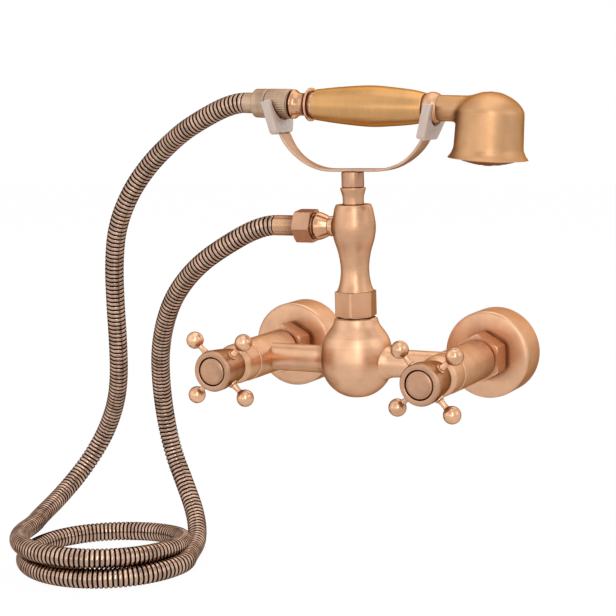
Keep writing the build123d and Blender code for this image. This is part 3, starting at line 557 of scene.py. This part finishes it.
def ribbed_tube_tree():
    """Ribs along a line: the tube's radius rises to a crest and falls to a narrow groove at each rib."""
    rings_per_rib = 8
    tree, add, given = new_tree("ribbed_tube", [
        ("Ribs", "NodeSocketInt"), ("Radius", "NodeSocketFloat"), ("Groove Depth", "NodeSocketFloat"),
        ("Faces", "NodeSocketInt")])
    count = add("ShaderNodeMath", {0: given["Ribs"], 1: rings_per_rib, 2: 1}, operation="MULTIPLY_ADD")
    curve = add("GeometryNodeMeshToCurve", {"Mesh": given["Geometry"]})
    even = add("GeometryNodeResampleCurve", {"Curve": curve, "Count": count}, mode="COUNT")
    along = add("GeometryNodeSplineParameter", output="Factor")
    phase = add("ShaderNodeMath", {0: along, 1: given["Ribs"]}, operation="MULTIPLY")
    nearest = add("ShaderNodeMath", {0: phase}, operation="ROUND")
    away = add("ShaderNodeMath", {0: phase, 1: nearest}, operation="SUBTRACT")
    distance = add("ShaderNodeMath", {0: away}, operation="ABSOLUTE")
    groove = add("ShaderNodeMapRange", {
        "Value": distance, "From Min": 0.04, "From Max": 0.28, "To Min": 1.0, "To Max": 0.0},
        interpolation_type="SMOOTHSTEP")
    marked = add("GeometryNodeStoreNamedAttribute", {"Geometry": even, "Name": "groove", "Value": groove},
                 data_type="FLOAT", domain="POINT")
    depth = add("ShaderNodeMath", {0: groove, 1: given["Groove Depth"]}, operation="MULTIPLY")
    radius = add("ShaderNodeMath", {0: given["Radius"], 1: depth}, operation="SUBTRACT")
    circle = add("GeometryNodeCurvePrimitiveCircle", {"Resolution": given["Faces"], "Radius": 1.0}, mode="RADIUS")
    tube = add("GeometryNodeCurveToMesh", {
        "Curve": marked, "Profile Curve": circle, "Scale": radius, "Fill Caps": True})
    return end_tree(tree, add, given, tube)


def round_repeat_tree():
    """Copies of the piece, equally spaced round the Z axis."""
    tree, add, given = new_tree("repeat_round_axis", [
        ("Count", "NodeSocketInt"), ("First Angle", "NodeSocketFloat")])
    points = add("GeometryNodeMeshLine", {"Count": given["Count"], "Offset": (0, 0, 0)}, mode="OFFSET")
    index = add("GeometryNodeInputIndex")
    share = add("ShaderNodeMath", {0: index, 1: given["Count"]}, operation="DIVIDE")
    angle = add("ShaderNodeMath", {0: share, 1: 2 * pi, 2: given["First Angle"]}, operation="MULTIPLY_ADD")
    turn = add("ShaderNodeCombineXYZ", {"Z": angle})
    copies = add("GeometryNodeInstanceOnPoints", {"Points": points, "Instance": given["Geometry"], "Rotation": turn})
    return end_tree(tree, add, given, copies)


# Stage


def aim_camera():
    """The camera stands and looks as the photograph's did."""
    yaw, pitch, roll = radians(27.462), radians(7.996), radians(-1.644)
    ahead = Vector((-sin(yaw) * cos(pitch), cos(yaw) * cos(pitch), -sin(pitch)))
    across = Vector((cos(yaw), sin(yaw), 0))
    above = across.cross(ahead)
    right = across * cos(roll) + above * sin(roll)
    up = above * cos(roll) - across * sin(roll)
    camera = new_piece("camera", bpy.data.cameras.new("camera"))
    camera.data.sensor_width = 36.0
    camera.data.lens = 94.17
    camera.data.clip_end = 50.0
    place = Matrix((right, up, -ahead)).transposed().to_4x4()
    place.translation = Vector((470.72, -1049.05, 189.61)) * MM
    camera.matrix_world = place
    bpy.context.scene.camera = camera


def soft_lamp(name, place, size, watts):
    """A soft box aimed at the middle of the mixer; its place and size are in metres."""
    lamp = new_piece(name, bpy.data.lights.new(name, "AREA"))
    lamp.data.shape = "RECTANGLE"
    lamp.data.size, lamp.data.size_y = size
    lamp.data.energy = watts
    way = Vector((-0.05, -0.07, 0)) - Vector(place)
    lamp.rotation_euler = way.to_track_quat("-Z", "Y").to_euler()
    lamp.location = place


def background_material(name, base):
    """White for the camera and in reflections, and a plain pale surface for everything else."""
    material, add = new_material(name)
    rays = add("ShaderNodeLightPath").node.outputs
    matt = add("ShaderNodeBsdfDiffuse", {"Color": base})
    white = add("ShaderNodeEmission", {"Color": base, "Strength": 1.0})
    seen = add("ShaderNodeMath", {0: rays["Is Glossy Ray"], 1: rays["Is Transmission Ray"]}, operation="MAXIMUM")
    glowing = add("ShaderNodeMixShader", {0: seen, 1: matt, 2: white})
    # Most of what the camera sees is the white, and the rest carries the object's shadow.
    share = add("ShaderNodeMath", {0: rays["Is Camera Ray"], 1: 0.97}, operation="MULTIPLY")
    surface = add("ShaderNodeMixShader", {0: share, 1: glowing, 2: white})
    add("ShaderNodeOutputMaterial", {"Surface": surface})
    return material


class MIXER_OT_stage(bpy.types.Operator):
    """Camera, lamps, floor and background"""
    bl_idname = "mixer.stage"
    bl_label = "Stage"

    def execute(self, context):
        scene = context.scene
        base = tuple(scene.mixer_colours.floor)
        scene.view_settings.view_transform = "Standard"
        aim_camera()
        world = bpy.data.worlds.new("studio")
        scene.world = world
        world.use_nodes = True
        world.node_tree.nodes.clear()
        add = partial(add_node, world.node_tree)
        rays = add("ShaderNodeLightPath").node.outputs
        room = add("ShaderNodeBackground", {"Color": base, "Strength": 0.8})
        white = add("ShaderNodeBackground", {"Color": base, "Strength": 1.0})
        seen = rays["Is Camera Ray"]
        for other in ("Is Glossy Ray", "Is Transmission Ray"):
            seen = add("ShaderNodeMath", {0: seen, 1: rays[other]}, operation="MAXIMUM")
        mix = add("ShaderNodeMixShader", {0: seen, 1: room, 2: white})
        add("ShaderNodeOutputWorld", {"Surface": mix})
        floor_mesh = bpy.data.meshes.new("floor")
        reach, level = 4.0, FLOOR_LEVEL * MM
        floor_mesh.from_pydata(
            [(-reach, -reach, level), (reach, -reach, level), (reach, reach, level), (-reach, reach, level)],
            [], [(0, 1, 2, 3)])
        floor = new_piece("floor", floor_mesh)
        floor_mesh.materials.append(background_material("pale_floor", base))
        soft_lamp("key", (-1.5, -1.3, 1.1), (1.6, 2.0), 4)
        soft_lamp("strip", (0.95, -1.75, 0.9), (0.35, 1.6), 8)
        soft_lamp("fill", (1.9, 0.1, 0.9), (1.2, 1.4), 3.5)
        soft_lamp("top", (0.1, -0.1, 1.7), (1.6, 1.2), 4.5)
        soft_lamp("front", (-1.0, -2.0, 0.05), (2.0, 1.0), 2)
        soft_lamp("low", (0.3, -1.9, 0.25), (1.6, 0.5), 2.7)
        soft_lamp("back", (0.2, 2.0, 0.7), (2.4, 1.2), 6)
        soft_lamp("back_top", (-0.2, 1.0, 1.6), (1.8, 1.0), 5.5)
        return {"FINISHED"}


# Hose

# The route, from the hand shower to the lying loop and from the loop to the column's branch
upper_points = [
    (-80.43, -72.8, 176.31), (-91, -72.8, 176.8), (-128.5, -68.2, 161), (-151, -62, 148), (-171, -60, 132),
    (-188.5, -59, 112), (-203, -56, 87), (-212, -49, 58), (-217, -42, 26), (-221.5, -34, -6.5), (-228.5, -25, -37),
    (-241, -15, -62), (-256, -12, -88), (-267.5, -25, -111), (-271.5, -52, -127), (-265, -87, -133)]
lower_points = [
    (-133, -86.5, -148), (-139.5, -62, -144.5), (-152.5, -42, -131.5), (-169.5, -29, -111.5), (-183.5, -22, -90),
    (-188, -24, -62), (-185.5, -32, -33), (-178, -43, -7), (-166.5, -53, 16.5), (-152.5, -61, 37.5),
    (-132, -67.5, 57.5), (-108.5, -72, 73), (-71.5, -72.8, 92), (-59.6, -72.8, 92)]
# The lying loop's middle, and how far out and how high the hose is at each quarter turn
coil_centre = (-189.5, -103.5)
coil_reaches = (66.4, 62.2, 51.7, 59.7, 61.8, 59.9, 63)
coil_heights = (-133, -133, -139, -148, -148, -148, -148)


def coil_points(steps=4):
    """The turns of the lying loop, seen from above from its left round the front.

    The smooth line cuts inside its points by a fiftieth, so they stand that much further out.
    """
    points = []
    for step, (reach, height) in enumerate(smooth_line(list(zip(coil_reaches, coil_heights)), steps)):
        angle = pi + step * pi / 2 / steps
        reach *= 1.02
        points.append((coil_centre[0] + reach * cos(angle), coil_centre[1] + reach * sin(angle), height))
    return points


def hose_line():
    """Points along the hose, read from one smooth line."""
    route = upper_points + coil_points() + lower_points
    curve = bpy.data.curves.new("hose_line", "CURVE")
    curve.dimensions = "3D"
    curve.resolution_u = 12
    spline = curve.splines.new("NURBS")
    spline.points.add(len(route) - 1)
    for point, place in zip(spline.points, reversed(route)):
        point.co = (*(Vector(place) * MM), 1)
    spline.order_u = 3
    spline.use_endpoint_u = True
    holder = new_piece("hose_line", curve)
    bpy.context.view_layer.update()
    graph = bpy.context.evaluated_depsgraph_get()
    mesh = bpy.data.meshes.new_from_object(holder.evaluated_get(graph), depsgraph=graph)
    bpy.data.objects.remove(holder)
    return mesh


def fluted(radius, height, angle):
    """Shallow flutes round the front half of the connector nut."""
    depth, count = 0.16, 40
    if radius < 9.6 or height < -62:
        return radius
    return radius - depth * (0.5 - 0.5 * cos(count * angle))


class MIXER_OT_hose(bpy.types.Operator):
    """Ribbed metal hose with its ferrules and nuts"""
    bl_idname = "mixer.hose"
    bl_label = "Hose"

    def execute(self, context):
        sizes = context.scene.mixer_sizes
        faces = 24
        line = hose_line()
        points = [vertex.co.copy() for vertex in line.vertices]
        length = sum((after - before).length for before, after in zip(points, points[1:]))
        hose = new_piece("hose", line)
        grown(hose, ribbed_tube_tree(), {
            "Ribs": round(length / sizes.rib_pitch), "Radius": sizes.hose_radius,
            "Groove Depth": sizes.groove_depth, "Faces": faces, "Material": finishes["hose"]})
        hose.data.shade_smooth()
        hose.data.materials.clear()
        hose.data.materials.append(finishes["hose"])
        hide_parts("hose_upper", "hose_coil", "hose_lower")
        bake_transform(hose)
        ferrule_lower = turned_piece("hose_ferrule_lower", "", [
            (7.05, 40.3), (7.05, 59.2), (6.6, 59.6), (4.5, 59.6), (4.5, 38.9), (8.1, 38.9), (8.1, 40.3)],
            branch_axis, "mixer", "bright_x", "copper_hose")
        ferrule_upper = turned_piece("hose_ferrule_upper", "", [
            (7.05, -61), (7.05, -80.1), (6.6, -80.5), (4.5, -80.5), (4.5, -59.6), (8.1, -59.6), (8.1, -61)],
            handset_axis, "handset", "aged_x", "copper_hose")
        nut = turned_piece(
            "hose_nut", "", nut_outline(12.2, 29, 42, 1, 8.4, [(7.25, 42), (7.25, 40.3), (8.4, 40.3)]),
            branch_axis, "mixer", "antique_x", "antique_copper", form=hexagonal(12.2, 53))
        connector = turned_piece("connector_nut", "", [
            (7.25, -72), (9.2, -72), (9.8, -71.4), (9.95, -64.4), (9.95, -62.4), (9.6, -62), (9.6, -61.4),
            (10.05, -61), (10.22, -45.6), (9.8, -45.2), (9.8, -44.9), (10.25, -44.5), (10.25, -44), (8.35, -44),
            (8.35, -61), (7.25, -61)],
            handset_axis, "handset", "aged_x", "antique_copper", rounding=0.25, faces=240, form=fluted)
        return {"FINISHED"}


# Wall connections


class MIXER_OT_wall_connections(bpy.types.Operator):
    """Flanges, unions and swivel nuts at the wall"""
    bl_idname = "mixer.wall_connections"
    bl_label = "Wall connections"

    def execute(self, context):
        rim = smooth_line([(30.3, 21.3), (30.05, 22.9), (29.2, 24), (27.3, 24.5)], 4)
        ridges = thread_outline(12.6, 13.2, 20, 1.08, 12, 0.35, 0.25)
        corner = 30.5 / sqrt(3)
        for side, word in SIDES:
            place = inlet_axis(side)
            turned_piece("wall_flange", word, [
                (30.3, 0), *rim, (15.2, 24.5), (14, 24.2), (13.6, 23.5), (13.6, 23.3), (27, 23.3), (29.1, 21.5),
                (29.1, 0)], place, "mixer", "pale_y", "satin_copper")
            turned_piece("wall_union", word, [
                (7.5, -15), (9.9, -15), (10.48, -14.4), (10.48, 6), (12.2, 6), (12.2, 20), *ridges,
                (7.5, 33)], place, "mixer", "brass", "raw_brass", rounding=0.12)
            turned_piece(
                "union_nut", word,
                nut_outline(corner, 27.5, 42.5, 1, 13.35, [(9.3, 42.5), (9.3, 38), (13.35, 38)]),
                place, "mixer", "pale_y", "antique_copper", form=hexagonal(corner, 30))
            repaint("rubber", "inlet_washer" + word, "seat_seal" + word)
            repaint("brass", "cartridge_housing" + word, "spindle" + word)
            repaint("ceramic", "fixed_disc" + word, "moving_disc" + word)
        return {"FINISHED"}


# Body


class MIXER_OT_body(bpy.types.Operator):
    """Body casting with its barrels, arms and bulb"""
    bl_idname = "mixer.body"
    bl_label = "Body"

    def execute(self, context):
        flare = smooth_line([(9.5, 31), (10.1, 26), (12.5, 21)], 5)
        half = [(0, 75), (9.5, 75), *flare, (12.5, 0)]
        bar = turned("mixer_body_piece", [*half[:-1], *[(r, -h) for r, h in reversed(half[:-1])]], wall_bar_axis)
        round_part = smooth_line([
            (0, -25), (9.4, -23.2), (17.2, -18.1), (22.6, -10.4), (24.6, -1.2), (24, 8.6), (21.6, 16.9),
            (16.2, 25), (14.6, 29.5)], 6)
        bulb = turned("bulb", [*round_part, (13.2, 30.5), (11, 30.5), (11, 39), (0, 39)], column_axis)
        barrels = [turned("barrel", [
            (0, 35), (12.3, 35), (12.3, 38), (9, 38), (9, 44), (13.2, 44), (14, 44.8), (14, 96.6), (13.6, 97),
            (0, 97)], inlet_axis(side)) for side, word in SIDES]
        combined(bar, [bulb, *barrels], "UNION")
        bores = [turned("bore", [
            (0, 34.5), (6.5, 34.5), (6.5, 61), (5, 61), (5, 66), (9.2, 66), (9.2, 98), (0, 98)],
            inlet_axis(side), rounding=0.05) for side, word in SIDES]
        water = turned("bore", [(0, -70), (4.5, -70), (4.5, 70), (0, 70)], wall_bar_axis, rounding=0.05)
        hollow = turned("bore", [(0, -20), (11, -18), (19, -7.5), (19, 5), (8.6, 22), (8.6, 40), (0, 40)],
                        column_axis, rounding=0.05)
        combined(bar, [*bores, water, hollow], "DIFFERENCE")
        settle(bar, "mixer", "pale_z", "satin_copper", "mixer_body")
        return {"FINISHED"}


# Handles


class MIXER_OT_handles(bpy.types.Operator):
    """Sleeves, hubs, spokes and caps of both cross handles"""
    bl_idname = "mixer.handles"
    bl_label = "Handles"

    def execute(self, context):
        sizes = context.scene.mixer_sizes
        repeat = round_repeat_tree()
        shoulder = smooth_line([(13.6, 109), (13.1, 111.2), (10.5, 114.6)], 5)
        skirt = smooth_line([(11.5, 115), (12.6, 122), (13.8, 134)], 5)
        neck = smooth_line([(2.4, 14.6), (1.95, 17), (1.8, 19), (2, 20.8)], 3)
        # The ball's outline starts where its neck meets it, 68 degrees below the ball's middle.
        turns = [radians(-68 + 158 * k / 14) for k in range(14)]
        ball = [(BALL * cos(turn), BALL_HEIGHT + BALL * sin(turn)) for turn in turns]
        for side, word in SIDES:
            place = inlet_axis(side)
            handle = "handle" + word
            turned_piece("bonnet_sleeve", word, [
                (13.3, 97), (13.6, 97.3), *shoulder, (6.5, 114.6), (6.5, 106), (11.4, 106), (11.4, 97)],
                place, "mixer", "pale_y", "satin_copper")
            turned_piece("handle_hub", word, [
                *skirt, (13.8, 139.5), (12.9, 141.2), (9.8, 141.2), (9.8, 138.2), (5.2, 138.2), (5.2, 133),
                (2.1, 133), (2.1, 128), (3.25, 128), (3.25, 115)],
                place, handle, "antique_y", "antique_copper", rounding=0.5)
            spokes = turned("handle_spokes_piece" + word, [
                (0, 12.5), (3.2, 12.5), (3.2, 14.5), *neck, *ball, (0, BALL_HEIGHT + BALL)],
                Matrix.Rotation(pi / 2, 4, "Y"), faces=40, rounding=0.3)
            # The right handle stands a little further closed than the left one.
            first = radians(45.0 if side < 0 else 41.4)
            grown(spokes, repeat, {
                "Count": sizes.spoke_count, "First Angle": first, "Material": finishes["rubbed_y"]})
            spokes.data.transform(place @ Matrix.Translation((0, 0, 129.8 * MM)))
            shaded(spokes.data)
            settle(spokes, handle, "rubbed_y", "antique_copper", "handle_spokes" + word)
            turned_piece("index_cap", word, [
                (0, 138.2), (9.15, 138.2), (9.15, 140.6), (8.6, 141.2), (8, 141.5), (7.6, 141.5), (7, 141.7),
                (0, 141.7)], place, handle, "antique_y", "satin_copper", rounding=0.25)
            repaint("steel", "handle_screw" + word)
        return {"FINISHED"}


# Column and outlet


class MIXER_OT_column(bpy.types.Operator):
    """Hexagonal coupling, turned column and hose outlet"""
    bl_idname = "mixer.column"
    bl_label = "Column"

    def execute(self, context):
        turned_piece(
            "column_collar", "", nut_outline(14.7, 31.5, 48.3, 0.7, 11.1, [(9.5, 48.3), (9.5, 40.5), (11.1, 40.5)]),
            column_axis, "mixer", "satin_z", "satin_copper", form=hexagonal(14.7, -20.4))
        vase = smooth_line([
            (12.5, 48.3), (10.6, 54), (9.6, 63.5), (11.1, 74.5), (13.9, 84), (14.8, 93), (13.1, 104.1)], 7)
        lip = smooth_line([(7.2, 107), (7.15, 110), (7.4, 113), (8.66, 117.3)], 5)
        column = turned("column_piece", [
            *vase, (11.9, 107), *lip, (8.66, 118.3), (4.1, 118.3), (4.1, 107.8), (0, 107.8), (0, 100), (5.5, 97.2),
            (5.5, 32), (8.4, 32), (8.4, 40.5), (9.45, 40.5), (9.45, 48.3)], column_axis)
        port = turned("port", [
            (0, -1), (4.2, -1), (4.2, 9.5), (6.3, 9.5), (6.3, 14), (7, 14), (7, 19), (0, 19)],
            branch_axis, rounding=0.05)
        combined(column, [port], "DIFFERENCE")
        settle(column, "mixer", "satin_z", "satin_copper", "column")
        bead = smooth_line([(6.1, 17.6), (7.6, 20.5), (9, 23.8), (9.5, 26), (8.8, 27.4)], 5)
        thread = thread_outline(7.8, 8.3, 28.6, 1.4, 6, 0.45, 0.35)
        turned_piece("outlet_adapter", "", [
            (6.2, 9.5), (6.2, 14), (6.9, 14), (6.9, 17.2), *bead, (8.3, 27.8), (8.3, 28.4), *thread, (8, 37.3),
            (4.2, 37.3), (4.2, 9.5)], branch_axis, "mixer", "bright_x", "satin_copper", rounding=0.2)
        repaint("rubber", "column_washer", "column_seal", "outlet_washer", "handset_washer", "spray_seal")
        return {"FINISHED"}


# Cradle


def filleted(points, radii):
    """A line through points whose inner corners are arcs of the given radii."""
    line, steps = [Vector(points[0])], 12
    for before, corner, after, radius in zip(points, points[1:], points[2:], radii):
        corner = Vector(corner)
        run_in, run_out = (Vector(before) - corner).normalized(), (Vector(after) - corner).normalized()
        half = run_in.angle(run_out) / 2
        centre = corner + (run_in + run_out).normalized() * (radius / sin(half))
        start, end = corner + run_in * (radius / tan(half)), corner + run_out * (radius / tan(half))
        away, turn = start - centre, (start - centre).rotation_difference(end - centre)
        for k in range(steps + 1):
            line.append(centre + Quaternion(turn.axis, turn.angle * k / steps) @ away)
    return line + [Vector(points[-1])]


def strap_width(x):
    """Half the strap's width: narrow out to 40 mm from the post's axis, and full from 50 mm at the forks."""
    narrow, full = 4.75, 7.0
    return narrow + (full - narrow) * min(max((abs(x) - 40) / 10, 0), 1)


def strap_section(half_width):
    """The outline of the strap's rounded section."""
    half_thickness, rounding = 0.95, 0.5
    outline = []
    for x_sign, y_sign, first in ((1, 1, 0), (-1, 1, 90), (-1, -1, 180), (1, -1, 270)):
        for k in range(4):
            angle = radians(first + 30 * k)
            outline.append((x_sign * (half_width - rounding) + rounding * cos(angle),
                            y_sign * (half_thickness - rounding) + rounding * sin(angle)))
    return outline


def strap():
    """The bent strap between the forks."""
    line = filleted([(-53, 160, 0), (-40.2, 130.05, 0), (42.1, 130.05, 0), (56.5, 155, 0)], [40, 40])
    rings = []
    for k, point in enumerate(line):
        along = (line[min(k + 1, len(line) - 1)] - line[max(k - 1, 0)]).normalized()
        normal = Vector((-along.y, along.x, 0))
        ring = []
        for across, out in strap_section(strap_width(point.x)):
            spot = point + normal * out
            ring.append((Vector((spot.x, -REACH + across, spot.y)) * MM, 0))
        rings.append(ring)
    return skinned("strap", rings, capped=True)


def fork(name, root, top, hollow, grown_by, thickness):
    """A fork's plate: a U that holds the handset, standing in its leaning plane."""
    rise = Vector((top[0] - root[0], 0, top[1] - root[1]))
    height = rise.length + grown_by
    place = axis_place((root[0], -REACH, root[1]), rise.cross(Vector((0, 1, 0))) * -1, rise)
    bed = (handset_centre.z - (root[0] - handset_centre.x) * tan(HANDSET_TILT) - root[1])
    middle = bed * rise.z / rise.length + 0.2
    wall, foot = 2.8, 3.0
    half = FORK_HOLLOW + wall + grown_by
    foot_turns = [radians(180 + 90 * k / 6) for k in range(7)]
    bed_turns = [radians(-180 * k / 24) for k in range(25)]
    # The far side is drawn in towards the strap.
    outline = [
        *((-half + foot + foot * cos(turn), foot + foot * sin(turn)) for turn in foot_turns),
        *smooth_line([(half - 9.4, 0), (half - 7.4, 1), (half - 1.9, 9.2), (half - 0.3, 12), (half, 14.5)], 3),
        (half, height), (hollow, height),
        *((hollow * cos(turn), middle + hollow * sin(turn)) for turn in bed_turns),
        (-hollow, height), (-half, height)]
    sides = (-thickness / 2, thickness / 2)
    plate = skinned(name, [[(Vector((side, y, z)) * MM, 0) for y, z in outline] for side in sides], capped=True)
    bevel = plate.modifiers.new("edges", "BEVEL")
    bevel.width = 0.5 * MM
    bevel.segments = 2
    bevel.limit_method = "ANGLE"
    bevel.angle_limit = radians(50)
    flatten(plate)
    plate.data.transform(place)
    shaded(plate.data)
    return plate


class MIXER_OT_cradle(bpy.types.Operator):
    """Post, strap, forks and their liners"""
    bl_idname = "mixer.cradle"
    bl_label = "Cradle"

    def execute(self, context):
        turned_piece("cradle_post", "", [
            (0, 107.9), (4, 107.9), (4, 118.3), (7, 118.3), (7.6, 118.9), (7.6, 128.5), (7, 129.1),
            (0, 129.1)], column_axis, "mixer", "antique_z", "satin_copper")
        turned_piece("cradle_screw", "", [
            (0, 120), (2.4, 120), (2.4, 129.1), (4.2, 131), (1.3, 131), (1.3, 130.2), (0, 130.2)],
            column_axis, "mixer", "antique_z", "antique_copper", rounding=0.15)
        places = {"_left": ((-50.9, 155.3), (-57.3, 176.8)), "_right": ((55.8, 150.3), (61.2, 172.2))}
        forks = [fork("fork", *ends, FORK_HOLLOW, 0, 4) for ends in places.values()]
        yoke = joined("cradle_yoke_piece", [strap(), *forks])
        settle(yoke, "mixer", "strip", "satin_copper", "cradle_yoke")
        for word, ends in places.items():
            liner = fork("fork_sleeve_piece" + word, *ends, FORK_BED, 1, 6)
            inner = fork("inner", *ends, FORK_HOLLOW, 0, 4)
            combined(liner, [inner], "DIFFERENCE")
            settle(liner, "mixer", "milky", "milky_plastic", "fork_sleeve" + word)
        return {"FINISHED"}


# Hand shower


def neck_fillet(dome):
    """The smooth hollow where the neck runs into the bell: rings round the neck that rise onto the bell."""
    to_bell = bell_axis.inverted() @ handset_axis
    outline = [Vector(point) for point in dome]

    def clearance(spot):
        """How far a point of the neck's own axes is from the bell, in millimetres."""
        local = to_bell @ spot / MM
        flat = Vector((sqrt(local.x**2 + local.y**2), local.z))
        nearest = min(
            (flat - (a + (b - a) * min(max((flat - a).dot(b - a) / (b - a).length_squared, 0), 1))).length
            for a, b in zip(outline, outline[1:]))
        inside = any(
            a.y <= flat.y <= b.y and flat.x < a.x + (b.x - a.x) * (flat.y - a.y) / (b.y - a.y)
            for a, b in zip(outline, outline[1:]) if b.y > a.y)
        return -nearest if inside else nearest

    faces, steps, full_size = 72, 8, 4.5
    rings = []
    for step in range(-1, steps + 2):
        share = min(max(step / steps, 0), 1)
        ring = []
        for k in range(faces):
            angle = 2 * pi * k / faces
            # The dome is low over the neck's upper side, so the hollow is smaller there.
            size = full_size - 2.3 * max(-cos(angle), 0)**2
            rise, wanted = size * share**2, size * (1 - share)**2
            # The first ring is sunk into the neck, and the last into the bell.
            if step < 0:
                rise, wanted = -0.6, size + 1.2
            if step > steps:
                rise, wanted = size - 0.6, -0.8
            radius = NECK + rise
            # Halving finds where along the neck the ring stands at the wanted distance from the bell.
            low, high = 60, 98
            for _ in range(18):
                middle = (low + high) / 2
                if clearance(round_point(radius, angle, middle)) > wanted:
                    low = middle
                else:
                    high = middle
            ring.append((handset_axis @ round_point(radius, angle, low), 0))
        rings.append(ring)
    first, last = ([(sum((point for point, wear in ring), Vector()) / faces, 0)] for ring in (rings[0], rings[-1]))
    return skinned("fillet", [first, *rings, last])


class MIXER_OT_handset(bpy.types.Operator):
    """Tail, grip, bead, bell and spray plate of the hand shower"""
    bl_idname = "mixer.handset"
    bl_label = "Hand shower"

    def execute(self, context):
        cove = smooth_line([(10, -42.2), (8.1, -39.4), (7.6, -36), (8.3, -33.2), (10.4, -31)], 5)
        turned_piece("handset_tail", "", [
            *cove, (11.3, -30.5), (11.3, -29.1), (8.8, -28.7), (8.8, -25.3), (8.4, -25.3), (8.4, -18), (4.5, -18),
            (4.5, -58), (8.25, -58), (8.25, -42.2)], handset_axis, "handset", "bright_x", "satin_copper")
        swell = smooth_line([(10.4, -25.3), (12.3, -7.6), (13.7, 14.6), (12.7, 32), (11.3, 45.5), (9.6, 54)], 8)
        turned_piece("handset_grip", "", [*swell, (6.6, 54), (6.6, -18), (8.5, -18), (8.5, -25.3)],
                     handset_axis, "handset", "golden_x", "golden_copper")
        bead = smooth_line([(8.6, 54), (9.9, 56.35), (10.4, 59.15), (9.9, 61.95), (8.6, 64.3)], 5)
        turned_piece("handset_collar", "", [*bead, (6.6, 64.3), (6.6, 54)],
                     handset_axis, "handset", "satin_x", "satin_copper")
        dome = smooth_line([
            (0, 0), (6.4, 0.8), (12.5, 3.3), (16.9, 6.3), (19.8, 9.4), (21.3, 12), (21.8, 15), (22.1, 25),
            (22.5, 35.4), (23.1, 38), (24.3, 40.6), (26.15, 43)], 5)
        head = turned("handset_head_piece", [
            *dome, (21.5, 43), (21.5, 39.7), (20.2, 39.7), (20.2, 15.8), (18.8, 10.4), (12, 4.7), (0, 1.6)],
            bell_axis, rounding=0.6)
        neck = turned("neck", [(0, 64.3), (NECK, 64.3), (NECK, 89), (0, 89)], handset_axis)
        combined(head, [neck, neck_fillet(dome)], "UNION")
        settle(head, "handset", "matt_z", "satin_copper", "handset_head")
        turned_piece("spray_plate", "", [
            (0, 44), (4.2, 44), (17.2, 40.7), (21.4, 40.7), (21.4, 42.5), (19, 42.5), (18.4, 43.8), (16.9, 44.6),
            (14.8, 45.2), (9, 46.6), (5, 47), (0, 47)],
            bell_axis, "handset", "antique_z", "antique_copper", rounding=0.5)
        repeat = round_repeat_tree()
        nozzles = []
        outline = [(0, -1.2), (0.8, -1.2), (0.8, 0.1), (0.5, 0.25), (0.4, -0.1), (0, -0.1)]
        for reach, height, count in ((6.5, 46.75, 6), (12, 45.7, 12)):
            place = Matrix.Translation((reach * MM, 0, height * MM))
            nozzle = turned("nozzle", outline, place, rounding=0.1, faces=12)
            grown(nozzle, repeat, {"Count": count, "First Angle": 0.0, "Material": finishes["rubber"]})
            nozzle.data.transform(bell_axis)
            nozzles.append(nozzle)
        settle(joined("spray_nozzles", nozzles), "handset", "rubber", "black_rubber")
        turned_piece("spray_screw", "", [
            (0, 29), (1.5, 29), (1.5, 47), (3.2, 47), (3.2, 47.2), (2.5, 47.5), (0.9, 47.5), (0.9, 47.2),
            (0, 47.2)], bell_axis, "handset", "antique_z", "antique_copper", rounding=0.2)
        repaint("brass", "handset_tube")
        return {"FINISHED"}


# Panel and registration


class MIXER_PT_panel(bpy.types.Panel):
    """Lists the pieces of the mixer"""
    bl_idname = "MIXER_PT_panel"
    bl_label = "Bath Mixer"
    bl_space_type = "VIEW_3D"
    bl_region_type = "UI"
    bl_category = "Mixer"

    def draw(self, context):
        layout = self.layout
        for group in (context.scene.mixer_sizes, context.scene.mixer_colours):
            for name in group.bl_rna.properties.keys():
                if name not in ("rna_type", "name"):
                    layout.prop(group, name)
        for operator in operators:
            layout.operator(operator.bl_idname)


operators = (
    MIXER_OT_stage,
    MIXER_OT_hose,
    MIXER_OT_wall_connections,
    MIXER_OT_body,
    MIXER_OT_handles,
    MIXER_OT_column,
    MIXER_OT_cradle,
    MIXER_OT_handset,
)
classes = (MixerSizes, MixerColours, *operators, MIXER_PT_panel)


def register():
    for item in classes:
        bpy.utils.register_class(item)
    bpy.types.Scene.mixer_sizes = PointerProperty(type=MixerSizes)
    bpy.types.Scene.mixer_colours = PointerProperty(type=MixerColours)


def unregister():
    del bpy.types.Scene.mixer_colours
    del bpy.types.Scene.mixer_sizes
    for item in reversed(classes):
        bpy.utils.unregister_class(item)


def main():
    register()
    make_finishes(bpy.context.scene.mixer_colours)
    bpy.ops.mixer.stage()
    bpy.ops.mixer.hose()
    bpy.ops.mixer.wall_connections()
    bpy.ops.mixer.body()
    bpy.ops.mixer.handles()
    bpy.ops.mixer.column()
    bpy.ops.mixer.cradle()
    bpy.ops.mixer.handset()


if __name__ == "__main__":
    main()
